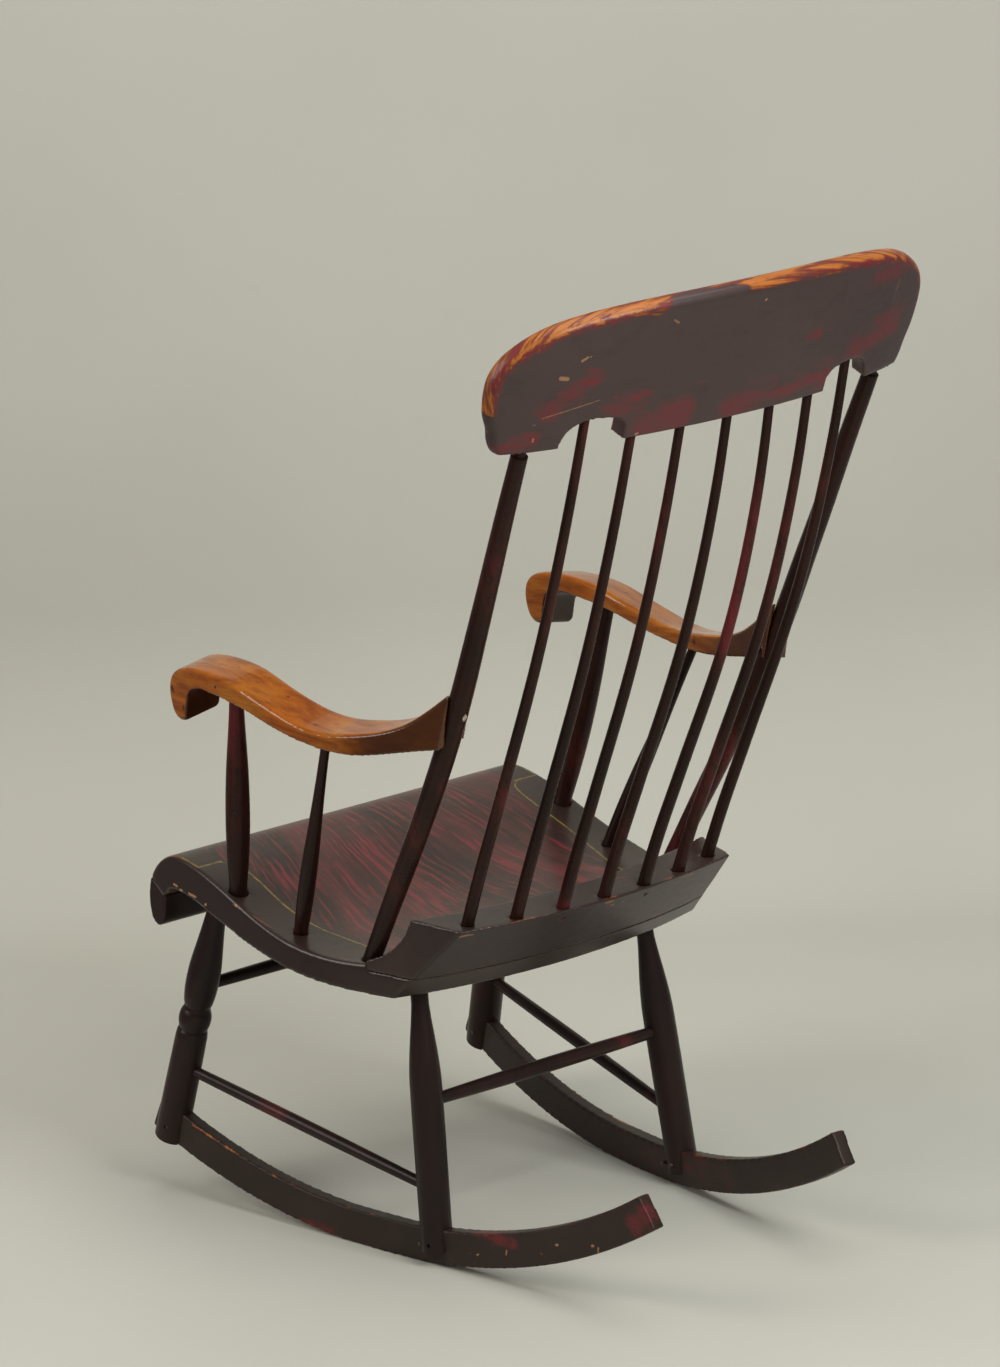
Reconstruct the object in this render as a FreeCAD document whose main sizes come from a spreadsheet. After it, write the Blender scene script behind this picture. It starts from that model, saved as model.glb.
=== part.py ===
import FreeCAD, Part
import math
import os

# Boston rocking chair, built in the drawing frame of its own seat:
# X across the chair, the front of the chair faces -Y, Z up, all in mm.
# At the end the whole chair leans back on its rockers by the rest angle.

V = FreeCAD.Vector
doc = FreeCAD.newDocument("boston_rocker")

# Driving dimensions
sheet = doc.addObject("Spreadsheet::Sheet", "Dimensions")
CELLS = [
    ("rest_lean_angle", 4.0),
    ("shift_back", -121.95),
    ("contact_back", 68.0),
    ("contact_height", 4.0),
    ("seat_rear_radius", 808.0),
    ("seat_rear_centre", -588.0),
    ("ledge_top_height", 400.5),
    ("rabbet_height", 334.0),
    ("crest_bend_radius", 840.0),
    ("crest_thickness", 21.0),
    ("crest_lean_angle", 17.0),
    ("crest_base_back", 399.0),
    ("crest_base_height", 962.0),
    ("spindle_foot_radius", 6.7),
    ("spindle_head_radius", 4.9),
    ("socket_clearance", 0.15),
    ("post_tenon_radius", 6.0),
    ("rocker_thickness", 16.0),
    ("rocker_depth", 38.0),
    ("rocker_front_radius", 740.0),
    ("rocker_rear_radius", 700.0),
    ("rocker_flat_half", 18.0),
    ("rocker_convergence", 7.07),
    ("rocker_half_spread", 188.0),
    ("pin_radius", 2.2),
    ("arm_bank_angle", 10.0),
    ("arm_top_rounding", 5.0),
    ("crest_crown_rounding", 8.0),
    ("seat_side_rounding", 4.0),
    ("spindle_tenon_radius", 4.8),
    ("spindle_shoulder_depth", 3.5),
    ("spindle_tenon_depth", 13.0),
]
for row, (alias, value) in enumerate(CELLS, start=1):
    sheet.set("A%d" % row, alias.replace("_", " "))
    sheet.set("B%d" % row, str(value))
    sheet.setAlias("B%d" % row, alias)
doc.recompute()


def dim(alias):
    return float(sheet.get(alias))


def bind(obj, prop, expression):
    obj.setExpression(prop, expression)


D = "Dimensions."
CLEAR = dim("socket_clearance")
TILT = math.radians(dim("rest_lean_angle"))


# Helpers for sketches and solids

def outline(name, groups, placement=None, owner=None):
    """Closed sketch from groups of points: two points make a line, more a spline."""
    if owner is None:
        sk = doc.addObject("Sketcher::SketchObject", name)
    else:
        sk = owner.newObject("Sketcher::SketchObject", name)
    for pts in groups:
        vs = [V(a, b, 0) for a, b in pts]
        if len(vs) == 2:
            sk.addGeometry(Part.LineSegment(vs[0], vs[1]), False)
        else:
            curve = Part.BSplineCurve()
            curve.interpolate(vs)
            sk.addGeometry(curve, False)
    if placement is not None:
        sk.Placement = placement
    return sk


def on_side_plane():
    """Sketch x runs along Y of the chair and sketch y along Z."""
    return FreeCAD.Placement(V(0, 0, 0), FreeCAD.Rotation(V(0, 1, 0), V(0, 0, 1), V(1, 0, 0), "ZXY"))


def pushed(name, sketch, direction, forward, back=0.0):
    ex = doc.addObject("Part::Extrusion", name)
    ex.Base = sketch
    ex.DirMode = "Custom"
    ex.Dir = direction
    ex.LengthFwd = forward
    ex.LengthRev = back
    ex.Solid = True
    return ex


def swung(name, sketch, centre_y, half_angle):
    rv = doc.addObject("Part::Revolution", name)
    rv.Source = sketch
    rv.Axis = V(0, 0, 1)
    rv.Base = V(0, centre_y, 0)
    rv.Angle = 2 * half_angle
    rv.Symmetric = True
    rv.Solid = True
    return rv


def common(name, shapes):
    c = doc.addObject("Part::MultiCommon", name)
    c.Shapes = shapes
    return c


def fused(name, shapes):
    f = doc.addObject("Part::MultiFuse", name)
    f.Shapes = shapes
    return f


def cut(name, base, tools):
    tool = tools[0] if len(tools) == 1 else fused(name + "_tools", tools)
    c = doc.addObject("Part::Cut", name)
    c.Base = base
    c.Tool = tool
    return c


def rounded(name, base, radius, chosen):
    """Round the edges of a finished shape that the rule picks out."""
    doc.recompute()
    fl = doc.addObject("Part::Fillet", name)
    fl.Base = base
    fl.Edges = [(i, radius, radius) for i, e in enumerate(base.Shape.Edges, start=1) if chosen(e)]
    return fl


def along(p, q):
    """Placement at p with local Z pointing to q."""
    return FreeCAD.Placement(V(*p), FreeCAD.Rotation(V(0, 0, 1), V(*q) - V(*p)))


def rod(name, p, q, radius):
    cyl = doc.addObject("Part::Cylinder", name)
    cyl.Radius = radius
    cyl.Height = (V(*q) - V(*p)).Length
    cyl.Placement = along(p, q)
    return cyl


def step_from(p, q, distance):
    d = (V(*q) - V(*p)).normalize()
    r = V(*p) + d * distance
    return (r.x, r.y, r.z)


def plane_of(body, role):
    for feature in body.Origin.OriginFeatures:
        if feature.Role == role:
            return feature
    raise RuntimeError("no plane " + role)


def turned(name, p, q, groups):
    """Lathe-turned body on the line p to q, groups hold (distance, radius)."""
    body = doc.addObject("PartDesign::Body", name + "_turning")
    sk = body.newObject("Sketcher::SketchObject", name + "_profile")
    sk.AttachmentSupport = [(plane_of(body, "XZ_Plane"), "")]
    sk.MapMode = "FlatFace"
    first = groups[0][0]
    last = groups[-1][-1]
    runs = [[(first[0], 0.0), first]] + groups + [[last, (last[0], 0.0)], [(last[0], 0.0), (first[0], 0.0)]]
    for pts in runs:
        vs = [V(r, d, 0) for d, r in pts]
        if len(vs) == 2:
            sk.addGeometry(Part.LineSegment(vs[0], vs[1]), False)
        else:
            curve = Part.BSplineCurve()
            curve.interpolate(vs)
            sk.addGeometry(curve, False)
    rev = body.newObject("PartDesign::Revolution", name + "_revolution")
    rev.Profile = sk
    rev.ReferenceAxis = (sk, ["V_Axis"])
    rev.Angle = 360.0
    body.Tip = rev
    body.Placement = along(p, q)
    return body


def bent_stick(name, path, radii):
    """Round stick lofted through circles square to a bent centre line."""
    sections = []
    n = len(path)
    for i, (p, r) in enumerate(zip(path, radii)):
        a = V(*path[max(i - 1, 0)])
        b = V(*path[min(i + 1, n - 1)])
        ring = doc.addObject("Part::Circle", "%s_ring_%d" % (name, i))
        ring.Radius = r
        ring.Placement = FreeCAD.Placement(V(*p), FreeCAD.Rotation(V(0, 0, 1), b - a))
        sections.append(ring)
    loft = doc.addObject("Part::Loft", name + "_loft")
    loft.Sections = sections
    loft.Solid = True
    loft.Ruled = False
    return loft


NODES = []
FLOOR_LIFT = dim("contact_back") * math.sin(TILT) - dim("contact_height") * math.cos(TILT)
LIFT_RULE = ("Dimensions.contact_back * sin(Dimensions.rest_lean_angle * 1deg)"
             " - Dimensions.contact_height * cos(Dimensions.rest_lean_angle * 1deg)")


def finish(obj, label):
    """Lean the finished piece back to its resting place on the floor."""
    obj.Label = label
    own = obj.Placement
    at = V(0, dim("shift_back"), FLOOR_LIFT)
    rest = FreeCAD.Placement(at, FreeCAD.Rotation(V(-1, 0, 0), dim("rest_lean_angle")))
    obj.Placement = rest.multiply(own)
    if own.isIdentity():
        bind(obj, "Placement.Rotation.Angle", D + "rest_lean_angle")
        bind(obj, "Placement.Base.y", D + "shift_back")
        bind(obj, "Placement.Base.z", LIFT_RULE)
    NODES.append(obj)
    return obj


def mirrored(obj, label):
    m = doc.addObject("Part::Mirroring", label + "_mirror")
    m.Source = obj
    m.Normal = V(1, 0, 0)
    m.Base = V(0, 0, 0)
    m.Label = label
    NODES.append(m)
    return m


def flip(p):
    return (-p[0], p[1], p[2])


# Centre lines of the standing pieces, left side of the sitter

FRONT_LEG = ((222.4, -258.3, 33.0), (199.3, -185.4, 356.0))
REAR_LEG = ((173.4, 142.4, 25.0), (155.5, 89.5, 318.0))
FRONT_SUPPORT = ((225.3, -125.2, 355.5), (259.2, -80.8, 612.0))
REAR_SUPPORT = ((213.3, -36.6, 331.0), (256.1, 66.7, 599.0))
POST = [
    (202.9, 66.2, 327.0), (203.4, 72.0, 338.5), (204.3, 81.0, 356.0),
    (208.3, 121.0, 432.0), (212.2, 160.5, 506.0), (216.5, 201.5, 587.4),
    (220.0, 229.5, 648.0), (223.5, 257.9, 718.5), (227.3, 285.1, 789.1),
    (230.1, 304.8, 841.3), (233.8, 331.0, 910.0), (236.2, 348.5, 955.0),
]
POST_RADII = [9.6, 9.7, 9.8, 10.6, 11.3, 11.7, 11.8, 11.4, 10.7, 10.2, 9.4, 8.9]

# Spindles: foot on the ledge, head under the crest, bow shared by all
LEDGE_Z = dim("ledge_top_height")
SPINDLE_FEET = [(166.0, 183.5), (112.0, 198.0), (56.0, 206.5), (0.0, 207.5)]
SPINDLE_HEADS = [(175.0, 375.5, 984.0), (119.0, 380.5, 959.0), (60.0, 388.0, 962.0), (0.0, 391.5, 963.0)]
SPINDLE_BOW = [(5.5, 17.0), (6.0, 17.0), (5.5, 20.0), (0.0, 20.0)]
BOW = [(0.0, 0.0), (0.10, 0.10), (0.20, 0.31), (0.30, 0.54), (0.42, 0.83), (0.54, 1.0), (0.66, 0.96),
       (0.78, 0.75), (0.90, 0.40), (1.0, 0.0)]


def spindle_path(foot, head, bow):
    pts = []
    for t, part in BOW:
        pts.append((foot[0] + (head[0] - foot[0]) * t + bow[0] * part,
                    foot[1] + (head[1] - foot[1]) * t + bow[1] * part,
                    foot[2] + (head[2] - foot[2]) * t))
    low = step_from(pts[0], pts[1], -dim("spindle_shoulder_depth"))
    high_mid = step_from(pts[-1], pts[-2], -8.0)
    high = step_from(pts[-1], pts[-2], -24.0)
    return [low] + pts + [high_mid, high]


RF = dim("spindle_foot_radius")
RH = dim("spindle_head_radius")


def spindle_radii():
    body = [RF + (RH - RF) * t ** 1.2 for t, _bow in BOW]
    return [RF] + body + [RH, RH]


# Seat plank: side profile pushed across, trimmed by the plan outline

seat_top = [(-264.0, 347.0), (-257.0, 359.0), (-240.0, 374.5), (-220.0, 382.5), (-195.0, 382.0),
            (-160.0, 376.0), (-126.0, 367.0), (-81.0, 354.0), (-32.0, 343.5), (13.0, 339.0),
            (52.0, 338.5), (90.0, 342.0), (140.0, 350.0)]
seat_under = [(150.0, 309.5), (100.0, 308.0), (52.0, 308.0), (0.0, 310.5), (-32.0, 313.5), (-100.0, 324.0),
              (-163.0, 338.0), (-209.0, 345.0), (-228.0, 342.0), (-238.0, 332.0)]
plank_side = outline("seat_side_profile", [
    seat_top,
    [(140.0, 350.0), (260.0, 350.0)],
    [(260.0, 350.0), (260.0, 309.5)],
    [(260.0, 309.5), (150.0, 309.5)],
    seat_under,
    [(-238.0, 332.0), (-264.0, 347.0)],
], on_side_plane())
plank_long = pushed("seat_plank_blank", plank_side, V(1, 0, 0), 270.0, 270.0)

edge = [(236.0, -290.0), (238.5, -245.0), (240.5, -200.0), (243.5, -124.0), (245.0, -60.0), (242.5, 0.0),
        (231.0, 52.0), (215.0, 98.0), (202.5, 137.0), (187.0, 196.0), (170.0, 250.0)]
other_edge = [(-x, y) for x, y in reversed(edge)]


def plan_block(name):
    sk = outline(name + "_plan", [
        edge,
        [edge[-1], other_edge[0]],
        other_edge,
        [other_edge[-1], edge[0]],
    ], FreeCAD.Placement(V(0, 0, 280.0), FreeCAD.Rotation()))
    return pushed(name + "_block", sk, V(0, 0, 1), 160.0)


YC = dim("seat_rear_centre")


def ring_profile(name, groups):
    moved = [[(r + YC, z) for r, z in pts] for pts in groups]
    return outline(name, moved, on_side_plane())


RR = dim("seat_rear_radius")
slope = 0.824


def rear_r(z):
    return RR - (LEDGE_Z - z) * slope


behind = swung("seat_rear_waste", ring_profile("seat_rear_waste_profile", [
    [(rear_r(290.0), 290.0), (rear_r(420.0), 420.0)],
    [(rear_r(420.0), 420.0), (940.0, 420.0)],
    [(940.0, 420.0), (940.0, 290.0)],
    [(940.0, 290.0), (rear_r(290.0), 290.0)],
]), YC, 24.0)
ZR = dim("rabbet_height")
rabbet = swung("seat_rabbet", ring_profile("seat_rabbet_profile", [
    [(706.0, ZR), (706.0, 420.0)],
    [(706.0, 420.0), (940.0, 420.0)],
    [(940.0, 420.0), (940.0, ZR)],
    [(940.0, ZR), (706.0, ZR)],
]), YC, 24.0)
plank_trimmed = common("seat_plank_trimmed", [plank_long, plan_block("seat_plank")])
plank_shape = rounded("seat_plank_rounded", plank_trimmed, dim("seat_side_rounding"),
                      lambda e: e.Length > 300.0 and abs(e.CenterOfMass.x) > 200.0 and e.CenterOfMass.z > 330.0)


def socket(name, p, q, radius, start, end):
    """Clearance hole around a round stick between two distances along it."""
    return rod(name, step_from(p, q, start), step_from(p, q, end), radius + CLEAR)


def both(name, p, q, radius, start, end):
    return [socket(name + "_l", p, q, radius, start, end),
            socket(name + "_r", flip(p), flip(q), radius, start, end)]


FL0, FL1 = FRONT_LEG
RL0, RL1 = REAR_LEG
fl_len = (V(*FL1) - V(*FL0)).Length
rl_len = (V(*RL1) - V(*RL0)).Length
fs_len = (V(*FRONT_SUPPORT[1]) - V(*FRONT_SUPPORT[0])).Length
rs_len = (V(*REAR_SUPPORT[1]) - V(*REAR_SUPPORT[0])).Length
FL_TOP_R = 10.5
RL_TOP_R = 9.5
plank_sockets = []
plank_sockets += both("front_leg_socket", FL0, FL1, FL_TOP_R, fl_len - 60, fl_len + 0.6)
plank_sockets += both("rear_leg_socket", RL0, RL1, RL_TOP_R, rl_len - 40, rl_len + 0.6)
plank_sockets += both("front_support_foot", FRONT_SUPPORT[0], FRONT_SUPPORT[1], 9.6, -0.6, 50)
plank_sockets += both("rear_support_foot", REAR_SUPPORT[0], REAR_SUPPORT[1], 7.4, -0.6, 45)
plank_sockets += both("post_foot", POST[0], POST[1], 9.75, -0.6, 45)
plank = cut("seat_plank_cut", plank_shape, [behind, rabbet] + plank_sockets)
finish(plank, "seat_plank")

# Front roll: the lip glued under the front end of the plank
roll_side = outline("seat_roll_profile", [
    [(-264.0, 347.0), (-266.5, 337.0), (-267.5, 322.0), (-265.0, 308.0), (-258.0, 298.0), (-250.0, 295.0),
     (-243.0, 299.5), (-239.5, 309.0), (-238.5, 321.0), (-238.0, 332.0)],
    [(-238.0, 332.0), (-264.0, 347.0)],
], on_side_plane())
roll_long = pushed("seat_roll_blank", roll_side, V(1, 0, 0), 270.0, 270.0)
roll = common("seat_roll_trimmed", [roll_long, plan_block("seat_roll")])
finish(roll, "seat_front_roll")

# Back ledge: curved block that holds the spindles
ledge_ring = swung("seat_ledge_ring", ring_profile("seat_ledge_profile", [
    [(rear_r(ZR), ZR), (706.0, ZR)],
    [(706.0, ZR), (706.0, 345.5)],
    [(706.0, 345.5), (722.0, 355.0), (735.0, 368.0), (744.0, 382.0), (750.0, LEDGE_Z)],
    [(750.0, LEDGE_Z), (RR, LEDGE_Z)],
    [(RR, LEDGE_Z), (rear_r(ZR), ZR)],
]), YC, 24.0)
ledge_shape = common("seat_ledge_trimmed", [ledge_ring, plan_block("seat_ledge")])
ledge_tools = []
paths = []
for (fx, fy), head, bow in zip(SPINDLE_FEET, SPINDLE_HEADS, SPINDLE_BOW):
    paths.append(spindle_path((fx, fy, LEDGE_Z), head, bow))
all_paths = paths[:3] + [paths[3]] + [[flip(p) for p in path] for path in reversed(paths[:3])]
SPINDLE_TENON = dim("spindle_tenon_radius")
TENON_REACH = dim("spindle_tenon_depth") - dim("spindle_shoulder_depth")
for i, path in enumerate(all_paths):
    ledge_tools.append(socket("ledge_socket_%d" % (i + 1), path[0], path[1], RF, -CLEAR, 60.0))
    ledge_tools.append(socket("ledge_tenon_socket_%d" % (i + 1), path[0], path[1], SPINDLE_TENON,
                              -TENON_REACH - CLEAR, 1.0))
ledge_tools += both("post_clear", POST[1], POST[2], 9.9, -10.0, 80.0)
ledge = cut("seat_ledge_cut", ledge_shape, ledge_tools)
finish(ledge, "seat_back_ledge")

# Crest rail: board bent in plan, leaning back
BR = dim("crest_bend_radius")
TH = dim("crest_thickness")
lean = FreeCAD.Rotation(V(-1, 0, 0), dim("crest_lean_angle"))
crest_at = V(0, dim("crest_base_back"), dim("crest_base_height"))


def bow_point(radius, x):
    return V(x, math.sqrt(radius * radius - x * x) - BR, 0)


slab_sketch = doc.addObject("Sketcher::SketchObject", "crest_bend_plan")
outer_r = BR
inner_r = BR - TH
slab_sketch.addGeometry(Part.Arc(bow_point(outer_r, -305), bow_point(outer_r, 0), bow_point(outer_r, 305)), False)
slab_sketch.addGeometry(Part.Arc(bow_point(inner_r, -305), bow_point(inner_r, 0), bow_point(inner_r, 305)), False)
slab_sketch.addGeometry(Part.LineSegment(bow_point(outer_r, -305), bow_point(inner_r, -305)), False)
slab_sketch.addGeometry(Part.LineSegment(bow_point(outer_r, 305), bow_point(inner_r, 305)), False)
slab_sketch.Placement = FreeCAD.Placement(crest_at + lean.multVec(V(0, 0, -40)), lean)
slab = pushed("crest_slab", slab_sketch, lean.multVec(V(0, 0, 1)), 230.0)

crown_half = [(286.5, 55.0), (285.5, 67.0), (281.0, 80.5), (273.0, 93.0), (259.0, 107.0), (237.5, 121.5),
              (210.0, 132.5), (183.0, 139.5), (158.0, 144.0), (126.0, 148.2), (80.0, 151.8), (37.0, 153.6)]
crown = crown_half + [(0.0, 154.0)] + [(-x, s) for x, s in reversed(crown_half)]
end_left = [(286.5, 55.0), (285.5, 38.0), (282.0, 22.0), (276.5, 8.0), (274.0, -3.0), (272.0, -8.0), (268.0, -15.0)]
ear_left = [(268.0, -15.0), (206.0, -9.5)]
notch_left = [(206.0, -9.5), (203.0, 0.0), (199.0, 8.5), (192.0, 15.5), (182.0, 20.5), (168.0, 22.5),
              (153.0, 22.0), (142.0, 18.5), (135.5, 12.0)]
wall_left = [(135.5, 12.0), (134.5, -4.5)]
middle = [(134.5, -4.5), (68.0, -1.2), (0.0, 0.0), (-68.0, -1.2), (-134.5, -4.5)]


def over(pts):
    return [(-x, s) for x, s in reversed(pts)]


face_sketch = outline("crest_face_outline", [
    crown, end_left, ear_left, notch_left, wall_left, middle,
    over(wall_left), over(notch_left), over(ear_left), over(end_left),
], FreeCAD.Placement(crest_at, lean.multiply(FreeCAD.Rotation(V(1, 0, 0), V(0, 0, 1), V(0, -1, 0), "ZXY"))))
face = pushed("crest_face_block", face_sketch, lean.multVec(V(0, 1, 0)), 30.0, 110.0)
crest_board = common("crest_bent_board", [slab, face])
crest_shape = rounded("crest_rounded_board", crest_board, dim("crest_crown_rounding"),
                      lambda e: e.Length > 500.0)
crest_tools = []
for i, path in enumerate(all_paths):
    crest_tools.append(socket("crest_socket_%d" % (i + 1), path[-1], path[-2], RH, -0.8, 60.0))
POST_TOP = POST[-1]
POST_TIP = step_from(POST[-1], POST[-2], -24.0)
PT = dim("post_tenon_radius")
crest_tools += both("crest_post_socket", POST_TIP, POST_TOP, PT, -0.8, 40.0)
crest = cut("crest_cut", crest_shape, crest_tools)
finish(crest, "crest_rail")

# Spindles, numbered from the sitter's left to the right
for i, path in enumerate(all_paths):
    stick = bent_stick("spindle_%d" % (i + 1), path, spindle_radii())
    tenon = rod("spindle_tenon_%d" % (i + 1), step_from(path[0], path[1], -TENON_REACH),
                step_from(path[0], path[1], 2.0), SPINDLE_TENON)
    finish(fused("spindle_with_tenon_%d" % (i + 1), [stick, tenon]), "back_spindle_%d" % (i + 1))

# Arm profile and plan
arm_top = [(-156.5, 558.0), (-166.0, 555.0), (-176.0, 559.5), (-183.0, 571.0), (-186.0, 588.0), (-181.5, 602.0),
           (-166.5, 612.5), (-138.0, 619.5), (-106.0, 622.0), (-68.5, 620.5), (-39.0, 615.5), (-8.0, 610.0),
           (34.0, 604.0), (76.0, 604.0), (105.0, 608.5), (147.0, 618.0), (176.0, 629.0), (204.0, 647.0),
           (231.0, 669.0), (250.0, 685.0)]
arm_under = [(250.0, 614.0), (221.0, 610.0), (189.0, 603.5), (161.0, 597.0), (133.0, 591.0), (112.0, 588.0),
             (91.0, 586.5), (62.0, 586.5), (33.0, 588.0), (5.0, 590.5), (-24.0, 594.5), (-46.0, 598.0),
             (-77.0, 600.5), (-117.0, 601.0), (-138.0, 598.0), (-148.0, 592.0), (-152.5, 582.0), (-154.5, 570.0),
             (-156.5, 558.0)]
BANK = math.tan(math.radians(dim("arm_bank_angle")))
ARM_FACE = 300.0
arm_side = outline("arm_side_profile", [
    arm_top, [arm_top[-1], arm_under[0]], arm_under,
], FreeCAD.Placement(V(ARM_FACE, 0, -(ARM_FACE - 270.0) * BANK), FreeCAD.Rotation()).multiply(on_side_plane()))
arm_long = pushed("arm_blank", arm_side, V(-1, 0, BANK), 130.0)
arm_outer = [(268.0, -200.0), (270.5, -150.0), (273.5, -90.0), (274.5, -20.0), (273.0, 60.0), (267.5, 110.0),
             (256.0, 160.0), (243.5, 205.0), (230.0, 260.0)]
arm_inner = [(200.0, 260.0), (207.5, 205.0), (214.0, 160.0), (220.0, 110.0), (223.5, 60.0), (226.0, -20.0),
             (223.5, -90.0), (223.0, -150.0), (223.0, -200.0)]
arm_plan = outline("arm_plan", [
    arm_outer, [arm_outer[-1], arm_inner[0]], arm_inner, [arm_inner[-1], arm_outer[0]],
], FreeCAD.Placement(V(0, 0, 540.0), FreeCAD.Rotation()))
arm_block = pushed("arm_plan_block", arm_plan, V(0, 0, 1), 180.0)
arm_trimmed = common("arm_trimmed", [arm_long, arm_block])
arm_shape = rounded("arm_rounded", arm_trimmed, dim("arm_top_rounding"),
                    lambda e: e.Length > 400.0 and e.CenterOfMass.z > 615.0)

# Post with its tenon, cut for the arm screw
post_stick = bent_stick("post", POST, POST_RADII)
post_tenon = rod("post_tenon", step_from(POST[-1], POST[-2], 6.0), POST_TIP, PT)
post_shape = fused("post_with_tenon", [post_stick, post_tenon])
PA = V(218.6, 218.5, 625.0)
PB = V(221.6, 242.0, 680.0)
post_dir = (PB - PA).normalize()
PM = PA + post_dir * 25.0
back_dir = V(-0.13, 1.0, 0.35).normalize()
screw_head = PM + back_dir * 8.0
screw_tip = PM - back_dir * 30.0
plug_out = PM + back_dir * 13.5


def tup(v):
    return (v.x, v.y, v.z)


screw_shank = rod("arm_screw_shank", tup(screw_tip), tup(screw_head), 2.3)
screw_cap = rod("arm_screw_head", tup(PM + back_dir * 5.0), tup(screw_head), 4.3)
screw = fused("arm_screw_solid", [screw_shank, screw_cap])
finish(screw, "arm_screw_left")
plug_rod = rod("arm_plug_rod", tup(PM + back_dir * 8.1), tup(plug_out), 4.6)
plug_sleeve = rod("arm_plug_bound", tup(PM - post_dir * 40.0), tup(PM + post_dir * 40.0), 11.9)
plug = common("arm_plug_solid", [plug_rod, plug_sleeve])
finish(plug, "arm_plug_left")
post = cut("post_cut", post_shape, [
    rod("post_screw_hole", tup(PM - back_dir * 20.0), tup(PM + back_dir * 6.0), 2.45),
    rod("post_screw_bore", tup(PM + back_dir * 4.9), tup(PM + back_dir * 20.0), 4.7),
])
finish(post, "back_post_left")
arm_rest = cut("arm_cut", arm_shape, [
    rod("arm_post_seat", tup(PM - post_dir * 90.0), tup(PM + post_dir * 90.0), 12.55),
    pushed("arm_tail_waste", outline("arm_tail_plan", [
        [(180.0, 207.0), (270.0, 207.0)],
        [(270.0, 207.0), (270.0, 300.0)],
        [(270.0, 300.0), (180.0, 300.0)],
        [(180.0, 300.0), (180.0, 207.0)],
    ], FreeCAD.Placement(V(0, 0, 540.0), FreeCAD.Rotation())), V(0, 0.22, 1).normalize(), 200.0),
    rod("arm_screw_pilot", tup(PM - back_dir * 30.6), tup(PM), 2.45),
    socket("arm_front_socket", FRONT_SUPPORT[0], FRONT_SUPPORT[1], 7.8, fs_len - 50, fs_len + 0.6),
    socket("arm_rear_socket", REAR_SUPPORT[0], REAR_SUPPORT[1], 5.0, rs_len - 50, rs_len + 0.6),
])
finish(arm_rest, "arm_left")

# Arm supports
front_support = turned("arm_front_support", FRONT_SUPPORT[0], FRONT_SUPPORT[1], [
    [(0.0, 9.6), (17.0, 9.6)],
    [(17.0, 9.6), (45.0, 11.3), (85.0, 12.9), (120.0, 13.0), (160.0, 12.0), (205.0, 9.6), (fs_len - 18.0, 7.8)],
    [(fs_len - 18.0, 7.8), (fs_len, 7.8)],
])
finish(front_support, "arm_front_support_left")
rear_support = turned("arm_rear_support", REAR_SUPPORT[0], REAR_SUPPORT[1], [
    [(0.0, 7.4), (16.0, 7.4)],
    [(16.0, 7.4), (50.0, 8.7), (85.0, 9.0), (130.0, 8.3), (190.0, 6.3), (240.0, 5.2), (rs_len - 16.0, 5.0)],
    [(rs_len - 16.0, 5.0), (rs_len, 5.0)],
])
finish(rear_support, "arm_rear_support_left")

# Rocker: arcs drawn from the worn flat that rests on the floor
FLAT = dim("rocker_flat_half")
CONTACT = V(0, dim("contact_back"), dim("contact_height"))
RFR = dim("rocker_front_radius")
RRR = dim("rocker_rear_radius")
DEEP = dim("rocker_depth")


def floor_point(a, b):
    return (CONTACT.y + a * math.cos(TILT) - b * math.sin(TILT),
            CONTACT.z + a * math.sin(TILT) + b * math.cos(TILT))


def arc_point(a0, radius, angle, inset, sign):
    r = radius - inset
    return floor_point(a0 + sign * r * math.sin(angle), radius - r * math.cos(angle))


CONV = math.radians(dim("rocker_convergence"))
rocker_frame = FreeCAD.Placement(V(dim("rocker_half_spread"), 0, 0), FreeCAD.Rotation(V(0, 0, 1),
                                 dim("rocker_convergence"))).multiply(on_side_plane())


def to_rocker(p):
    return V(p[0] / math.cos(CONV), p[1], 0)


def rocker_sketch(name, grow):
    rear_end = 0.5585
    front_end = 0.452
    sk = doc.addObject("Sketcher::SketchObject", name)
    low = -grow
    high = DEEP + grow
    pr = [to_rocker(arc_point(FLAT, RRR, t * rear_end, low, 1)) for t in (0.0, 0.5, 1.0)]
    pf = [to_rocker(arc_point(-FLAT, RFR, t * front_end, low, -1)) for t in (0.0, 0.5, 1.0)]
    qr = [to_rocker(arc_point(FLAT, RRR, t * rear_end, high, 1)) for t in (0.0, 0.5, 1.0)]
    qf = [to_rocker(arc_point(-FLAT, RFR, t * front_end, high, -1)) for t in (0.0, 0.5, 1.0)]
    sk.addGeometry(Part.Arc(pr[0], pr[1], pr[2]), False)
    sk.addGeometry(Part.LineSegment(pr[2], qr[2]), False)
    sk.addGeometry(Part.Arc(qr[0], qr[1], qr[2]), False)
    sk.addGeometry(Part.LineSegment(qr[0], qf[0]), False)
    sk.addGeometry(Part.Arc(qf[0], qf[1], qf[2]), False)
    sk.addGeometry(Part.LineSegment(qf[2], pf[2]), False)
    sk.addGeometry(Part.Arc(pf[0], pf[1], pf[2]), False)
    sk.addGeometry(Part.LineSegment(pf[0], pr[0]), False)
    sk.Placement = rocker_frame
    return sk


rocker_across = V(math.cos(CONV), math.sin(CONV), math.sin(CONV) * math.tan(TILT)).normalize()
RT = dim("rocker_thickness")
rocker_shape = pushed("rocker_blank", rocker_sketch("rocker_profile", 0.0), rocker_across, RT / 2, RT / 2)


def rocker_centre(y, z):
    return V(dim("rocker_half_spread") - math.tan(CONV) * y, y, z)


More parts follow.
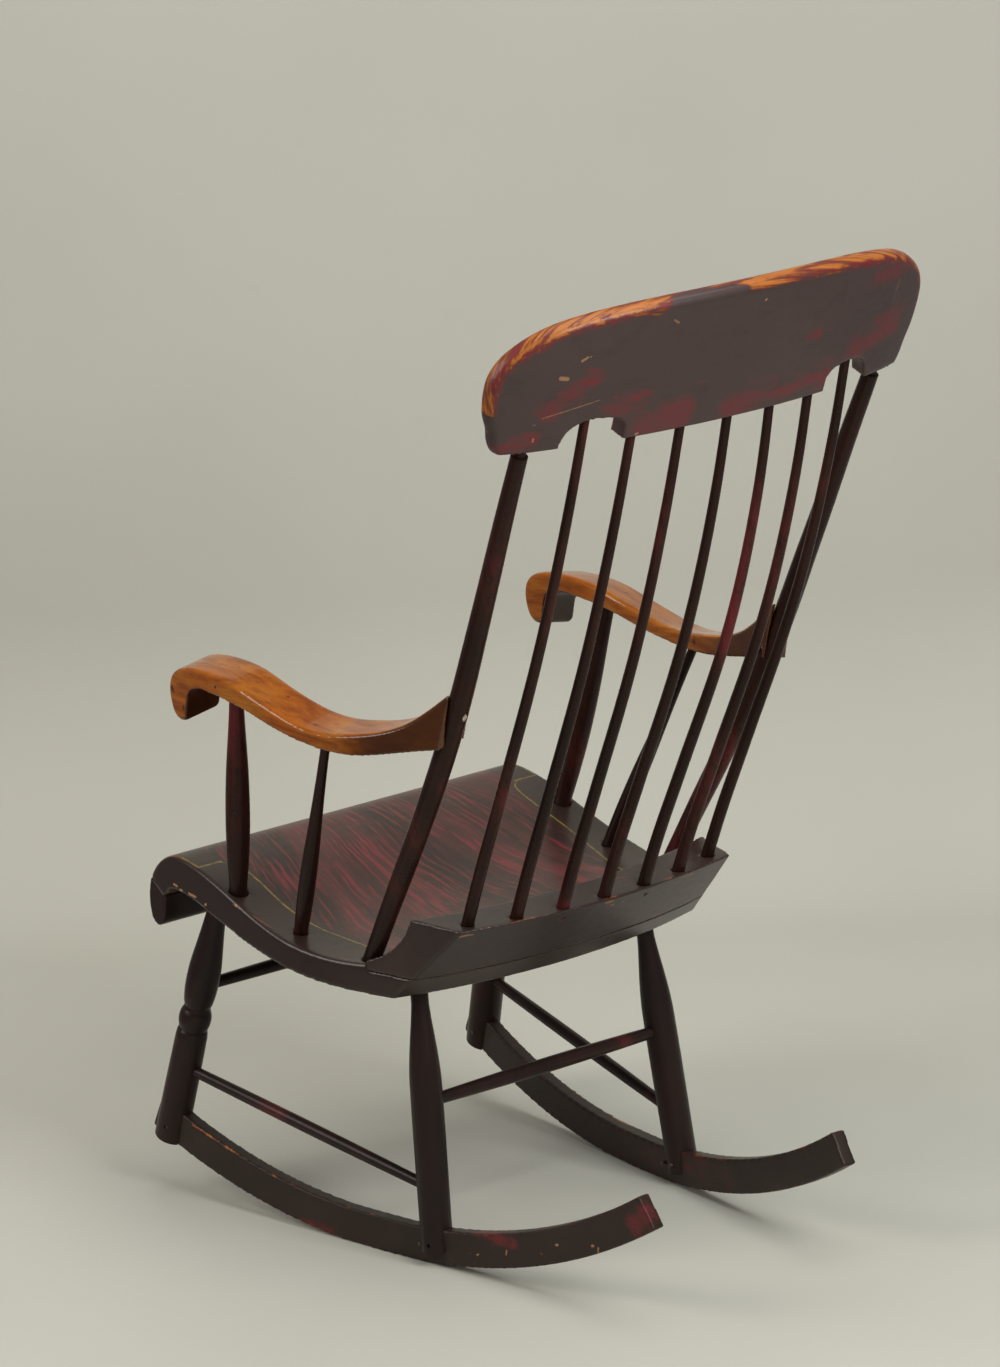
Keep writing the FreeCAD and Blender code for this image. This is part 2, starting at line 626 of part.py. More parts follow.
PIN = dim("pin_radius")
pins = []
PIN_SPOTS = [("front", -247.0, 62.0, 17.5), ("rear_a", 128.0, 32.0, 16.5), ("rear_b", 144.0, 35.0, 16.5)]
rocker_tools = []
pin_holes = {}
for tag, py, pz, half in PIN_SPOTS:
    mid = rocker_centre(py, pz)
    pins.append((tag, tup(mid - rocker_across * half), tup(mid + rocker_across * half)))
    pin_holes[tag] = rod("pin_hole_" + tag, tup(mid - rocker_across * 30), tup(mid + rocker_across * 30), PIN + 0.1)
    rocker_tools.append(pin_holes[tag])
rocker = cut("rocker_cut", rocker_shape, rocker_tools)
finish(rocker, "rocker_left")
slot = pushed("rocker_slot_tool", rocker_sketch("rocker_slot_profile", 0.15), rocker_across, RT / 2 + 0.15, RT / 2 + 0.15)

# The front leg ends flush with the underside of the rocker
trim = doc.addObject("Sketcher::SketchObject", "leg_foot_trim_profile")
trim_rim = [to_rocker(arc_point(-FLAT, RFR, t, 0.0, -1)) for t in (0.28, 0.40, 0.52)]
trim_low = [V(trim_rim[2].x, -60.0, 0), V(trim_rim[0].x, -60.0, 0)]
trim.addGeometry(Part.Arc(trim_rim[0], trim_rim[1], trim_rim[2]), False)
trim.addGeometry(Part.LineSegment(trim_rim[2], trim_low[0]), False)
trim.addGeometry(Part.LineSegment(trim_low[0], trim_low[1]), False)
trim.addGeometry(Part.LineSegment(trim_low[1], trim_rim[0]), False)
trim.Placement = rocker_frame
foot_trim = pushed("leg_foot_trim", trim, rocker_across, 60.0, 60.0)

# Legs: turned, slotted over the rocker, bored for the stretchers
front_leg_body = turned("front_leg", FL0, FL1, [
    [(0.0, 18.2), (45.0, 18.2), (100.0, 17.9), (140.0, 17.4)],
    [(140.0, 17.4), (146.0, 16.6)],
    [(146.0, 16.6), (149.0, 15.2)],
    [(149.0, 15.2), (154.0, 17.0), (161.0, 17.8), (168.0, 17.0), (173.0, 15.0)],
    [(173.0, 15.0), (177.0, 14.4)],
    [(177.0, 14.4), (181.0, 15.8)],
    [(181.0, 15.8), (190.0, 17.2), (206.0, 18.1), (225.0, 17.6), (250.0, 15.0), (275.0, 12.3), (295.0, FL_TOP_R)],
    [(295.0, FL_TOP_R), (fl_len, FL_TOP_R)],
])
rear_leg_body = turned("rear_leg", RL0, RL1, [
    [(0.0, 17.2), (60.0, 17.2), (130.0, 17.4), (175.0, 17.2)],
    [(175.0, 17.2), (200.0, 16.2), (228.0, 13.4), (252.0, 10.6), (264.0, RL_TOP_R)],
    [(264.0, RL_TOP_R), (rl_len, RL_TOP_R)],
])


def on_line(line, z):
    p, q = line
    t = (z - p[2]) / (q[2] - p[2])
    return (p[0] + (q[0] - p[0]) * t, p[1] + (q[1] - p[1]) * t, z)


SIDE_A = on_line(FRONT_LEG, 130.0)
SIDE_B = on_line(REAR_LEG, 90.0)
FRONT_L = on_line(FRONT_LEG, 228.0)
REAR_L = on_line(REAR_LEG, 182.0)
side_start = step_from(SIDE_A, SIDE_B, 4.0)
side_end = step_from(SIDE_B, SIDE_A, 4.0)
front_start = (FRONT_L[0] - 4.0, FRONT_L[1], FRONT_L[2])
rear_start = (REAR_L[0] - 4.0, REAR_L[1], REAR_L[2])
SR = 6.0
FR = 6.6
BR2 = 6.6
front_leg = cut("front_leg_cut", front_leg_body, [
    slot, foot_trim, pin_holes["front"],
    socket("side_socket_front", side_start, side_end, SR, -0.6, 60.0),
    socket("front_socket", front_start, flip(front_start), FR, -0.6, 60.0),
])
finish(front_leg, "front_leg_left")
rear_leg = cut("rear_leg_cut", rear_leg_body, [
    slot, pin_holes["rear_a"], pin_holes["rear_b"],
    socket("side_socket_rear", side_end, side_start, SR, -0.6, 60.0),
    socket("rear_socket", rear_start, flip(rear_start), BR2, -0.6, 60.0),
])
finish(rear_leg, "rear_leg_left")
for tag, a, b in pins:
    finish(rod("rocker_pin_" + tag, a, b, PIN), "rocker_pin_%s_left" % tag)


def stretcher(name, p, q, end_r, mid_r):
    n = (V(*q) - V(*p)).Length
    return turned(name, p, q, [
        [(0.0, end_r), (16.0, end_r)],
        [(16.0, end_r), (n * 0.25, (end_r + 2 * mid_r) / 3), (n * 0.5, mid_r),
         (n * 0.75, (end_r + 2 * mid_r) / 3), (n - 16.0, end_r)],
        [(n - 16.0, end_r), (n, end_r)],
    ])


finish(stretcher("side_stretcher", side_start, side_end, SR, 7.0), "side_stretcher_left")
finish(stretcher("front_stretcher", front_start, flip(front_start), FR, 7.9), "front_stretcher")
finish(stretcher("rear_stretcher", rear_start, flip(rear_start), BR2, 8.3), "rear_stretcher")

# Right-hand pieces are mirror images
doc.recompute()
for obj in list(NODES):
    if obj.Label.endswith("_left"):
        mirrored(obj, obj.Label[:-5] + "_right")
doc.recompute()

# Check every object before anything is written
for obj in doc.Objects:
    if "Invalid" in obj.State or "Error" in obj.State:
        raise RuntimeError("object in error: " + obj.Name)
for obj in NODES:
    if obj.Shape.isNull() or not obj.Shape.isValid():
        raise RuntimeError("bad shape: " + obj.Label)
    if len(obj.Shape.Solids) != 1:
        raise RuntimeError("%s has %d solids" % (obj.Label, len(obj.Shape.Solids)))

os.makedirs("parts", exist_ok=True)
for obj in NODES:
    obj.Shape.exportStep("parts/%s.step" % obj.Label)
    box = obj.Shape.BoundBox
    print("%-26s %8.1f..%8.1f %8.1f..%8.1f %8.1f..%8.1f vol %9.0f" % (
        obj.Label, box.XMin, box.XMax, box.YMin, box.YMax, box.ZMin, box.ZMax, obj.Shape.Volume))
print("pieces", len(NODES))
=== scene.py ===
import math

import bmesh
import bpy
import numpy as np
from mathutils import Matrix, Vector
from mathutils.kdtree import KDTree


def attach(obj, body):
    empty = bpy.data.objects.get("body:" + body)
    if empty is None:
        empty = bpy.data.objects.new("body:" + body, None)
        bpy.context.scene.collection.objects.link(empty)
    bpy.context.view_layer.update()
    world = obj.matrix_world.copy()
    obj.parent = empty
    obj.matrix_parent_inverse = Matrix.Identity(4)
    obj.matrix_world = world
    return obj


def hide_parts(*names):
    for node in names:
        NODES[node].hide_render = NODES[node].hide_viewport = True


# A rocking chair with worn dark paint, a grained seat and amber varnished arms.
# Metres, +Z up, the front of the chair faces -Y, +X is the sitter's left.

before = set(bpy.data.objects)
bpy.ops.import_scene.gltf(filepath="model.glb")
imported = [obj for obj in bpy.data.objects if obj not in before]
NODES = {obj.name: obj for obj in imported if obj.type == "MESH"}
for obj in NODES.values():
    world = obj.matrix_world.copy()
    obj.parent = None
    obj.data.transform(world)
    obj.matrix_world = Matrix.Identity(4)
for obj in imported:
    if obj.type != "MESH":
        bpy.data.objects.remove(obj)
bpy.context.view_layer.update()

# Camera of the photograph, found from the chair's own proportions
IMAGE_WIDTH = 1000
IMAGE_HEIGHT = 1367
FOCAL_PIXELS = 6809.35
SENSOR = 36.0
CAMERA_PLACE = Vector((4.3999, 5.3229, 2.4589))
CAMERA_AZIMUTH = math.radians(140.6447)
CAMERA_ELEVATION = math.radians(15.0907)
CAMERA_ROLL = math.radians(-2.6684)

# Colours, linear
LEG_DARK = (0.0160, 0.0095, 0.0080, 1)
LEG_WARM = (0.0310, 0.0150, 0.0120, 1)
BACK_DARK = (0.0135, 0.0062, 0.0038, 1)
BACK_WARM = (0.0420, 0.0135, 0.0095, 1)
ROCKER_DARK = (0.0240, 0.0150, 0.0110, 1)
ROCKER_WARM = (0.0360, 0.0210, 0.0150, 1)
# The crest's paint is lighter and greyer than the rest: partly dust, partly a painted sheen standing for
# its broad reflection
CREST_DARK = (0.0570, 0.0365, 0.0330, 1)
CREST_WARM = (0.0660, 0.0420, 0.0370, 1)
LEDGE_DARK = (0.0300, 0.0180, 0.0150, 1)
LEDGE_WARM = (0.0430, 0.0235, 0.0190, 1)
UNDER_RED = (0.165, 0.019, 0.023, 1)
RUBBED_ORANGE = (0.40, 0.125, 0.020, 1)
RUBBED_PALE = (0.58, 0.27, 0.08, 1)
BARE_BROWN = (0.15, 0.036, 0.012, 1)
CHIP_PALE = (0.38, 0.190, 0.085, 1)
SEAT_PLAIN = (0.0290, 0.0165, 0.0120, 1)
# SEAT_SIDE is painted shade on the seat's side faces, and also the front roll's own dark paint
SEAT_SIDE = (0.0210, 0.0105, 0.0075, 1)
# Painted sheen: the grey reflection of the backdrop on the seat's front ridge
RIDGE_PAINTED_SHEEN = (0.150, 0.115, 0.090, 1)
SEAT_BROWN = (0.0640, 0.0210, 0.0170, 1)
SEAT_BLACK = (0.0250, 0.0130, 0.0100, 1)
SEAT_RED = (0.200, 0.023, 0.028, 1)
ARM_AMBER = (0.37, 0.098, 0.005, 1)
ARM_GOLD = (0.40, 0.130, 0.012, 1)
ARM_BROWN = (0.180, 0.036, 0.004, 1)
ARM_DARK = (0.036, 0.0105, 0.0025, 1)
STRIPE_YELLOW = (0.27, 0.175, 0.030, 1)
IRON_DARK = (0.030, 0.022, 0.018, 1)
IRON_RUSTY = (0.10, 0.055, 0.035, 1)
PLUG_BROWN = (0.30, 0.20, 0.12, 1)
PLUG_PALE = (0.52, 0.42, 0.31, 1)
PAPER_DEEP = (0.50, 0.49, 0.42, 1)
PAPER_PALE = (0.53, 0.52, 0.455, 1)
PAPER_SCUFF = (0.40, 0.39, 0.35, 1)
ROOM_COLOR = (0.92, 0.93, 0.95, 1)

# Depth of the relief that a full step of a bump's height stands for
PAINT_RELIEF = 0.0005
WOOD_RELIEF = 0.0003

# How the level seat frame stands in the resting chair
REST_LEAN = math.radians(4.0)
REST_SHIFT_Y = -0.12195
REST_SHIFT_Z = 0.00075

# The yellow line of the seat follows a lane at each side. The lane is given from the front backward, as
# shares of its run and of its widest place. In front of it come a short step and a straight part.
LINE_FRONT = -0.2988
LINE_RUN = 0.24
LINE_WIDEST = 0.25
LINE_LANE = [(0.0, 0.84), (0.10, 0.832), (0.133, 0.796), (0.19, 0.777), (0.27, 0.774), (0.54, 0.785),
             (0.75, 0.762), (0.84, 0.742), (1.0, 0.72)]
LINE_STEP = -0.2753
LINE_STEP_INNER = 0.2045
LINE_STEP_OUTER = 0.2365
LINE_STEP_BLUR = 0.0015
LINE_FADE = (-0.075, -0.02)

# The grain strokes of the seat spread toward the back: their width at y = 0, and its gain per metre
FAN_WIDTH = 1.38
FAN_PER_METRE = 1.5

# The plane in which the crest rail's outline is measured, and where its rounded crown begins
CREST_FOOT = np.array((0.0, 0.3432, 0.9326))
CREST_TILT = math.radians(21)
CROWN_FROM = 0.03
RUBBED_BAND = 0.0085
RED_BAND = 0.019
CROWN_KEPT = ((0.0995, 0.391, 1.0755), (0.030, 0.397, 1.074), 0.012)
MOST_RUBBED_X = 0.02
MOST_RUBBED_HALF = 0.29

# Where the masks of the other pieces begin: y and z of the level seat, and y of the resting chair
PANEL_FROM = -0.252
RIDGE_FROM = 0.384
ROCKER_END_FROM = 0.33
# The painted shade on the arms' rear sides begins at this y
ARM_SHADE_FROM = -0.04
ARM_HOLLOW_BEFORE = -0.2

# A mask along a line has this value on the line itself, and so is full for a third of the half width
LINE_PEAK = 1.35

# The paper on which the chair stands. It ends soon after the edges of the picture, so that the sides of
# the chair mirror a dark room
FLOOR_LEFT = -0.95
FLOOR_RIGHT = 1.6
FLOOR_NEAR = -9.0
SWEEP_START = 1.0
SWEEP_RADIUS = 0.35
SWEEP_PARTS = 12
SWEEP_TOP = 1.8

LIGHT_TARGET = Vector((0, 0, 0.45))
ROOM_STRENGTH = 0.17

# Marks seen in the photograph, in metres: two ends and a half width
CREST_RED = [
    ((0.227, 0.3262, 0.977), (0.188, 0.3472, 1.003), 0.0105),
    ((0.156, 0.3422, 0.970), (0.126, 0.3502, 0.977), 0.010),
    ((0.118, 0.3382, 0.942), (0.069, 0.3472, 0.950), 0.014),
    ((0.007, 0.3492, 0.947), (-0.130, 0.3402, 0.954), 0.012),
    ((-0.178, 0.3372, 0.969), (-0.235, 0.3282, 0.987), 0.016),
    ((-0.186, 0.3662, 1.049), (-0.246, 0.3492, 1.051), 0.012),
    ((0.266, 0.2992, 0.940), (0.238, 0.3122, 0.948), 0.009),
    ((0.048, 0.3862, 1.078), (-0.060, 0.3852, 1.078), 0.008),
    ((-0.100, 0.3632, 1.004), (-0.085, 0.3632, 1.006), 0.006),
]
CREST_CHIPS = [
    ((0.220, 0.3422, 1.011), (0.213, 0.3442, 1.009), 0.0026),
    ((0.201, 0.3532, 1.027), (0.196, 0.3552, 1.030), 0.0020),
    ((0.193, 0.3562, 1.030), (0.191, 0.3562, 1.031), 0.0014),
    ((0.235, 0.3122, 0.946), (0.235, 0.3132, 0.949), 0.0014),
    ((0.121, 0.3352, 0.936), (0.119, 0.3352, 0.937), 0.0018),
    ((-0.008, 0.3912, 1.057), (-0.009, 0.3912, 1.058), 0.0014),
    ((0.055, 0.3762, 1.030), (0.054, 0.3762, 1.030), 0.0010),
    ((-0.205, 0.3532, 1.020), (-0.205, 0.3532, 1.022), 0.0012),
]
CREST_SCRATCHES = [
    ((0.277, 0.2932, 0.961), (0.225, 0.3252, 0.971), 0.0008),
    ((0.225, 0.3252, 0.971), (0.172, 0.3432, 0.981), 0.0007),
    ((0.283, 0.2902, 0.966), (0.236, 0.3192, 0.964), 0.0006),
    ((0.1055, 0.3832, 1.0555), (0.100, 0.3822, 1.052), 0.0012),
    ((0.148, 0.3652, 1.020), (0.128, 0.3732, 1.028), 0.0008),
    ((-0.230, 0.3482, 1.035), (-0.226, 0.3412, 1.012), 0.0006),
    ((-0.226, 0.3412, 1.012), (-0.236, 0.3312, 0.990), 0.0005),
    ((0.040, 0.3572, 0.962), (0.030, 0.3582, 0.965), 0.0007),
]
LEDGE_CHIPS = [
    ((0.173, 0.1009, 0.380), (0.170, 0.1017, 0.380), 0.0016),
    ((0.004, 0.1207, 0.380), (-0.004, 0.1207, 0.380), 0.0026),
    ((-0.009, 0.1142, 0.373), (-0.012, 0.1142, 0.374), 0.0018),
    ((-0.0255, 0.1132, 0.373), (-0.0255, 0.1132, 0.374), 0.0014),
    ((0.1835, 0.0982, 0.380), (0.176, 0.1012, 0.380), 0.0022),
    ((-0.110, 0.1122, 0.380), (-0.128, 0.1092, 0.380), 0.0016),
]
LEDGE_WEAR = [
    ((0.1815, 0.1047, 0.3858), (0.120, 0.1142, 0.3855), 0.0018),
    ((0.120, 0.1147, 0.3855), (0.050, 0.1202, 0.3850), 0.0016),
    ((0.050, 0.1202, 0.3850), (-0.010, 0.1222, 0.3848), 0.0017),
    ((-0.080, 0.1182, 0.3850), (-0.130, 0.1112, 0.3850), 0.0015),
]
SEAT_CHIPS = [
    ((0.240, -0.3058, 0.362), (0.240, -0.3018, 0.362), 0.0016),
    ((0.242, -0.2598, 0.355), (0.242, -0.2578, 0.356), 0.0016),
    ((0.2386, -0.3418, 0.337), (0.2386, -0.3408, 0.336), 0.0016),
    ((0.244, -0.2043, 0.3666), (0.244, -0.2033, 0.366), 0.0018),
    ((0.2412, -0.2888, 0.3612), (0.2418, -0.2768, 0.3600), 0.0018),
    ((0.2390, -0.3168, 0.3660), (0.2400, -0.3108, 0.3650), 0.0016),
]
SEAT_WEAR = [
    ((0.2440, -0.2079, 0.3665), (0.2385, -0.1588, 0.3535), 0.0011),
    ((0.2385, -0.1588, 0.3535), (0.2310, -0.0938, 0.3405), 0.0012),
    ((0.2310, -0.0938, 0.3405), (0.2220, -0.0438, 0.3350), 0.0010),
    ((0.2360, -0.3248, 0.3950), (0.2368, -0.3038, 0.3975), 0.0020),
]
ROCKER_RED = [
    ((0.2024, -0.1727, 0.0074), (0.1963, -0.1239, 0.0030), 0.006),
    ((0.1646, 0.0834, 0.0489), (0.1646, 0.1357, 0.0529), 0.006),
    ((0.1436, 0.3097, 0.1065), (0.1400, 0.3262, 0.1200), 0.012),
]
ROCKER_CHIPS = [
    ((0.1708, 0.0842, 0.0252), (0.1706, 0.0862, 0.0265), 0.0012),
    ((0.1657, 0.1261, 0.0345), (0.1655, 0.1272, 0.0390), 0.0011),
    ((0.1570, 0.1979, 0.0608), (0.1568, 0.2002, 0.0615), 0.0016),
    ((0.1508, 0.2485, 0.0705), (0.1506, 0.2502, 0.0712), 0.0018),
    ((0.1498, 0.2564, 0.0646), (0.1497, 0.2572, 0.0700), 0.0014),
]
ROCKER_WEAR = [
    ((0.2232, -0.3356, 0.0871), (0.2116, -0.2555, 0.0628), 0.0016),
    ((0.2116, -0.2555, 0.0628), (0.2019, -0.1736, 0.0457), 0.0020),
    ((0.2019, -0.1736, 0.0457), (0.1912, -0.1018, 0.0387), 0.0018),
    ((0.1912, -0.1018, 0.0387), (0.1827, -0.0112, 0.0383), 0.0014),
]
POST_CHIPS = [
    ((0.2310, 0.1717, 0.6400), (0.2312, 0.1724, 0.6420), 0.0030),
    ((0.2290, 0.1632, 0.6180), (0.2292, 0.1642, 0.6230), 0.0016),
]
ARM_SPOTS = [
    ((0.2731, -0.1783, 0.6168), (0.2731, -0.1778, 0.6170), 0.0020),
    ((0.2598, -0.0285, 0.6023), (0.2590, -0.0228, 0.6021), 0.0028),
    ((0.2517, 0.0109, 0.6035), (0.2510, 0.0122, 0.6036), 0.0018),
]


def over_x(lines):
    """The marks of one side carried over to the other."""
    return [((-a[0], a[1], a[2]), (-b[0], b[1], b[2]), width) for a, b, width in lines]


def shade(color, factor):
    """The same colour, darker or brighter."""
    return [factor * v for v in color[:3]] + [1]


# Node trees

# Sockets of the Mix node that carry colours
MIX_A = 6
MIX_B = 7
MIX_OUT = 2

# Keeps the run of a mark from having no length
NUDGE = Vector((1e-5, 0, 0))


class Recipe:
    """A material and short calls that add nodes to it."""

    def __init__(self, name):
        self.material = bpy.data.materials.new(name)
        self.material.use_nodes = True
        self.tree = self.material.node_tree
        self.tree.nodes.clear()
        self.out = self.tree.nodes.new("ShaderNodeOutputMaterial")
        self.place = self.tree.nodes.new("ShaderNodeTexCoord").outputs["Object"]

    def feed(self, socket, value):
        if isinstance(value, bpy.types.NodeSocket):
            self.tree.links.new(value, socket)
        elif value is not None:
            socket.default_value = value

    def math(self, operation, a, b=None, c=None, clamp=False):
        node = self.tree.nodes.new("ShaderNodeMath")
        node.operation = operation
        node.use_clamp = clamp
        for socket, value in zip(node.inputs, (a, b, c)):
            self.feed(socket, value)
        return node.outputs[0]

    def around(self, noise, amount, base):
        """The base moved up and down by a noise."""
        return self.math("MULTIPLY_ADD", self.math("SUBTRACT", noise, 0.5), amount, base)

    def stretched(self, stretch, shift):
        node = self.tree.nodes.new("ShaderNodeMapping")
        self.feed(node.inputs["Vector"], self.place)
        node.inputs["Scale"].default_value = stretch
        node.inputs["Location"].default_value = shift
        return node.outputs[0]

    def noise(self, scale, detail, roughness, vector=None, distortion=0.0):
        node = self.tree.nodes.new("ShaderNodeTexNoise")
        self.feed(node.inputs["Vector"], self.place if vector is None else vector)
        node.inputs["Scale"].default_value = scale
        node.inputs["Detail"].default_value = detail
        node.inputs["Roughness"].default_value = roughness
        node.inputs["Distortion"].default_value = distortion
        return node.outputs["Fac"]

    def step(self, value, low, high, flip=False):
        """0 below low, 1 above high, smooth between, or the other way round."""
        node = self.tree.nodes.new("ShaderNodeMapRange")
        node.interpolation_type = "SMOOTHSTEP"
        self.feed(node.inputs["Value"], value)
        node.inputs["From Min"].default_value = low
        node.inputs["From Max"].default_value = high
        node.inputs["To Min"].default_value = 1.0 if flip else 0.0
        node.inputs["To Max"].default_value = 0.0 if flip else 1.0
        return node.outputs[0]

    def curve(self, value, points):
        node = self.tree.nodes.new("ShaderNodeFloatCurve")
        own = node.mapping.curves[0]
        own.points[0].location = points[0]
        own.points[1].location = points[-1]
        for x, y in points[1:-1]:
            own.points.new(x, y)
        node.mapping.update()
        self.feed(node.inputs["Value"], value)
        return node.outputs[0]

    def mix(self, share, a, b):
        node = self.tree.nodes.new("ShaderNodeMix")
        node.data_type = "RGBA"
        self.feed(node.inputs[0], share)
        self.feed(node.inputs[MIX_A], a)
        self.feed(node.inputs[MIX_B], b)
        return node.outputs[MIX_OUT]

    def glaze(self, color, other, share, strength):
        """The other colour laid over the first by a share of limited strength."""
        return self.mix(self.math("MULTIPLY", share, strength), color, other)

    def mask(self, attribute):
        node = self.tree.nodes.new("ShaderNodeAttribute")
        node.attribute_name = attribute
        return node.outputs["Fac"]

    def vector(self, operation, a, b=None, scale=None):
        node = self.tree.nodes.new("ShaderNodeVectorMath")
        node.operation = operation
        self.feed(node.inputs[0], a)
        if scale is None:
            self.feed(node.inputs[1], b)
        else:
            self.feed(node.inputs["Scale"], scale)
        return node.outputs["Value" if operation in ("DOT_PRODUCT", "DISTANCE") else "Vector"]

    def axes(self):
        node = self.tree.nodes.new("ShaderNodeSeparateXYZ")
        self.feed(node.inputs[0], self.place)
        return tuple(node.outputs)

    def joined(self, x, y, z):
        node = self.tree.nodes.new("ShaderNodeCombineXYZ")
        for socket, value in zip(node.inputs, (x, y, z)):
            self.feed(socket, value)
        return node.outputs[0]

    def along_rim(self):
        """Coordinates that change fast across the rim of the crest rail and slowly along it."""
        x, y, z = self.axes()
        across = self.math("MULTIPLY_ADD", x, 0.10, self.mask("rim"))
        return self.joined(across, y, self.math("MULTIPLY", z, 0.10))

    def marks(self, lines, ragged, low, high):
        """1 near any of the lines (end, end, half width), with an edge made ragged by a noise."""
        nearest = None
        for a, b, width in lines:
            run = Vector(b) - Vector(a) + NUDGE
            local = self.vector("SUBTRACT", self.place, a)
            share = self.vector("DOT_PRODUCT", local, run / run.length_squared)
            share = self.math("MULTIPLY", share, 1.0, clamp=True)
            gap = self.vector("DISTANCE", local, self.vector("SCALE", run, scale=share))
            gap = self.math("MULTIPLY", gap, 1.0 / width)
            nearest = gap if nearest is None else self.math("MINIMUM", nearest, gap)
        return self.step(self.math("ADD", nearest, ragged), low, high, flip=True)

    def bump(self, height, distance, strength):
        node = self.tree.nodes.new("ShaderNodeBump")
        node.inputs["Strength"].default_value = strength
        node.inputs["Distance"].default_value = distance
        self.feed(node.inputs["Height"], height)
        return node.outputs[0]

    def surface(self, color, roughness, normal, coat=0.0, coat_roughness=0.2, specular=0.5):
        node = self.tree.nodes.new("ShaderNodeBsdfPrincipled")
        self.feed(node.inputs["Base Color"], color)
        self.feed(node.inputs["Roughness"], roughness)
        self.feed(node.inputs["Normal"], normal)
        node.inputs["Coat Weight"].default_value = coat
        node.inputs["Coat Roughness"].default_value = coat_roughness
        node.inputs["Specular IOR Level"].default_value = specular
        self.tree.links.new(node.outputs[0], self.out.inputs[0])
        return self.material


class OldPaint(Recipe):
    """Old dark paint over red: red shows where it is thin, wood where it is rubbed away."""

    def __init__(self, name, seed, lean, brushed):
        super().__init__(name)
        self.shift = (seed * 1.7, seed * 2.3, seed * 0.9)
        self.brushed = brushed
        own = self.stretched(lean, self.shift)
        even = self.stretched((1, 1, 1), self.shift)
        self.broad = self.noise(9.0, 3.0, 0.55, own)
        self.middle = self.noise(45.0, 3.0, 0.6, own)
        self.fine = self.noise(160.0, 3.0, 0.6, own)
        self.speck = self.noise(420.0, 2.0, 0.5, even)
        self.dust = self.noise(900.0, 2.0, 0.5, even)
        self.torn = self.around(self.fine, 0.9, self.math("SUBTRACT", self.middle, 0.5))

    def ground(self, dark, warm):
        """The dark paint itself, clouded and dusty."""
        color = self.mix(self.step(self.broad, 0.35, 0.75), dark, warm)
        color = self.glaze(color, shade(dark, 0.55), self.step(self.middle, 0.5, 0.75), 0.35)
        return self.glaze(color, shade(warm, 1.9), self.step(self.dust, 0.5, 0.8), 0.18)

    def red_share(self, red, red_marks, masks):
        """Where the red under the dark paint shows."""
        thin = self.math("MULTIPLY_ADD", self.fine, 0.22, self.broad)
        share = self.math("MULTIPLY", self.step(thin, 1.12 - red, 1.32 - red), 0.7)
        if red_marks:
            brush = self.noise(70.0, 4.0, 0.7, self.stretched(self.brushed, self.shift))
            spread = self.marks(red_marks, self.around(brush, 5.0, self.torn), 0.1, 1.6)
            uneven = self.math("MULTIPLY_ADD", self.step(self.fine, 0.35, 0.65), 0.45, 0.35)
            share = self.math("MAXIMUM", share, self.math("MULTIPLY", spread, uneven))
        if masks:
            patch = self.around(self.fine, 0.9, self.mask("red"))
            patch = self.around(self.broad, 1.1, patch)
            share = self.math("MAXIMUM", share, self.step(patch, 0.32, 0.80))
        return share

    def rubbed(self, color, pale, rim_streaks):
        """The colour with bare wood where hands rubbed it, and the share of bare wood."""
        if rim_streaks:
            streak = self.noise(210.0, 3.0, 0.6, self.along_rim())
        else:
            streak = self.noise(110.0, 3.0, 0.6, self.stretched(self.brushed, self.shift))
        rub = self.around(streak, 2.2, self.mask("bare"))
        rub = self.around(self.fine, 0.35, rub)
        share = self.step(rub, 0.42, 0.66)
        wood = self.mix(self.step(rub, 0.55, 0.95), BARE_BROWN, RUBBED_ORANGE)
        wood = self.glaze(wood, RUBBED_PALE, self.step(rub, 0.95, 1.45), pale)
        return self.mix(share, color, wood), share

    def chips(self, chip_marks, scratch_marks, masks):
        """Where the paint is chipped or scratched down to pale wood."""
        share = self.step(self.speck, 0.81, 0.86)
        if masks:
            edge = self.around(self.middle, 2.4, self.mask("chip"))
            edge = self.around(self.speck, 1.2, edge)
            share = self.math("MAXIMUM", share, self.step(edge, 0.80, 0.90))
        if chip_marks:
            near = self.marks(chip_marks, self.torn, 0.5, 1.1)
            share = self.math("MAXIMUM", share, self.math("MULTIPLY", near, 0.8))
        if scratch_marks:
            worn = self.math("MULTIPLY", self.math("SUBTRACT", self.speck, 0.5), 2.0)
            near = self.marks(scratch_marks, worn, 0.5, 1.2)
            share = self.math("MAXIMUM", share, self.math("MULTIPLY", near, 0.55))
        return share


def painted(name, seed, dark, warm, red, specular, lean=(1, 1, 1), masks=False, gloss=0.36, coat=0.0,
            red_marks=(), chip_marks=(), scratch_marks=(), pale=0.5, brushed=(0.25, 1, 1),
            rim_streaks=False):
    """Old paint in two dark colours. With masks, the piece has to store bare, red and chip."""
    r = OldPaint(name, seed, lean, brushed)
    color = r.mix(r.red_share(red, red_marks, masks), r.ground(dark, warm), UNDER_RED)
    height = r.math("MULTIPLY", r.fine, 0.12)
    if masks:
        color, bare_share = r.rubbed(color, pale, rim_streaks)
        height = r.math("SUBTRACT", height, r.math("MULTIPLY", bare_share, 0.6))
    chips = r.chips(chip_marks, scratch_marks, masks)
    color = r.mix(chips, color, CHIP_PALE)
    height = r.math("SUBTRACT", height, r.math("MULTIPLY", chips, 0.5))
    rough = r.math("MULTIPLY_ADD", r.fine, 0.18, gloss - 0.06)
    rough = r.math("MULTIPLY_ADD", chips, 0.2, rough)
    normal = r.bump(height, PAINT_RELIEF, 0.45)
    return r.surface(color, rough, normal, coat=coat, coat_roughness=0.14, specular=specular)


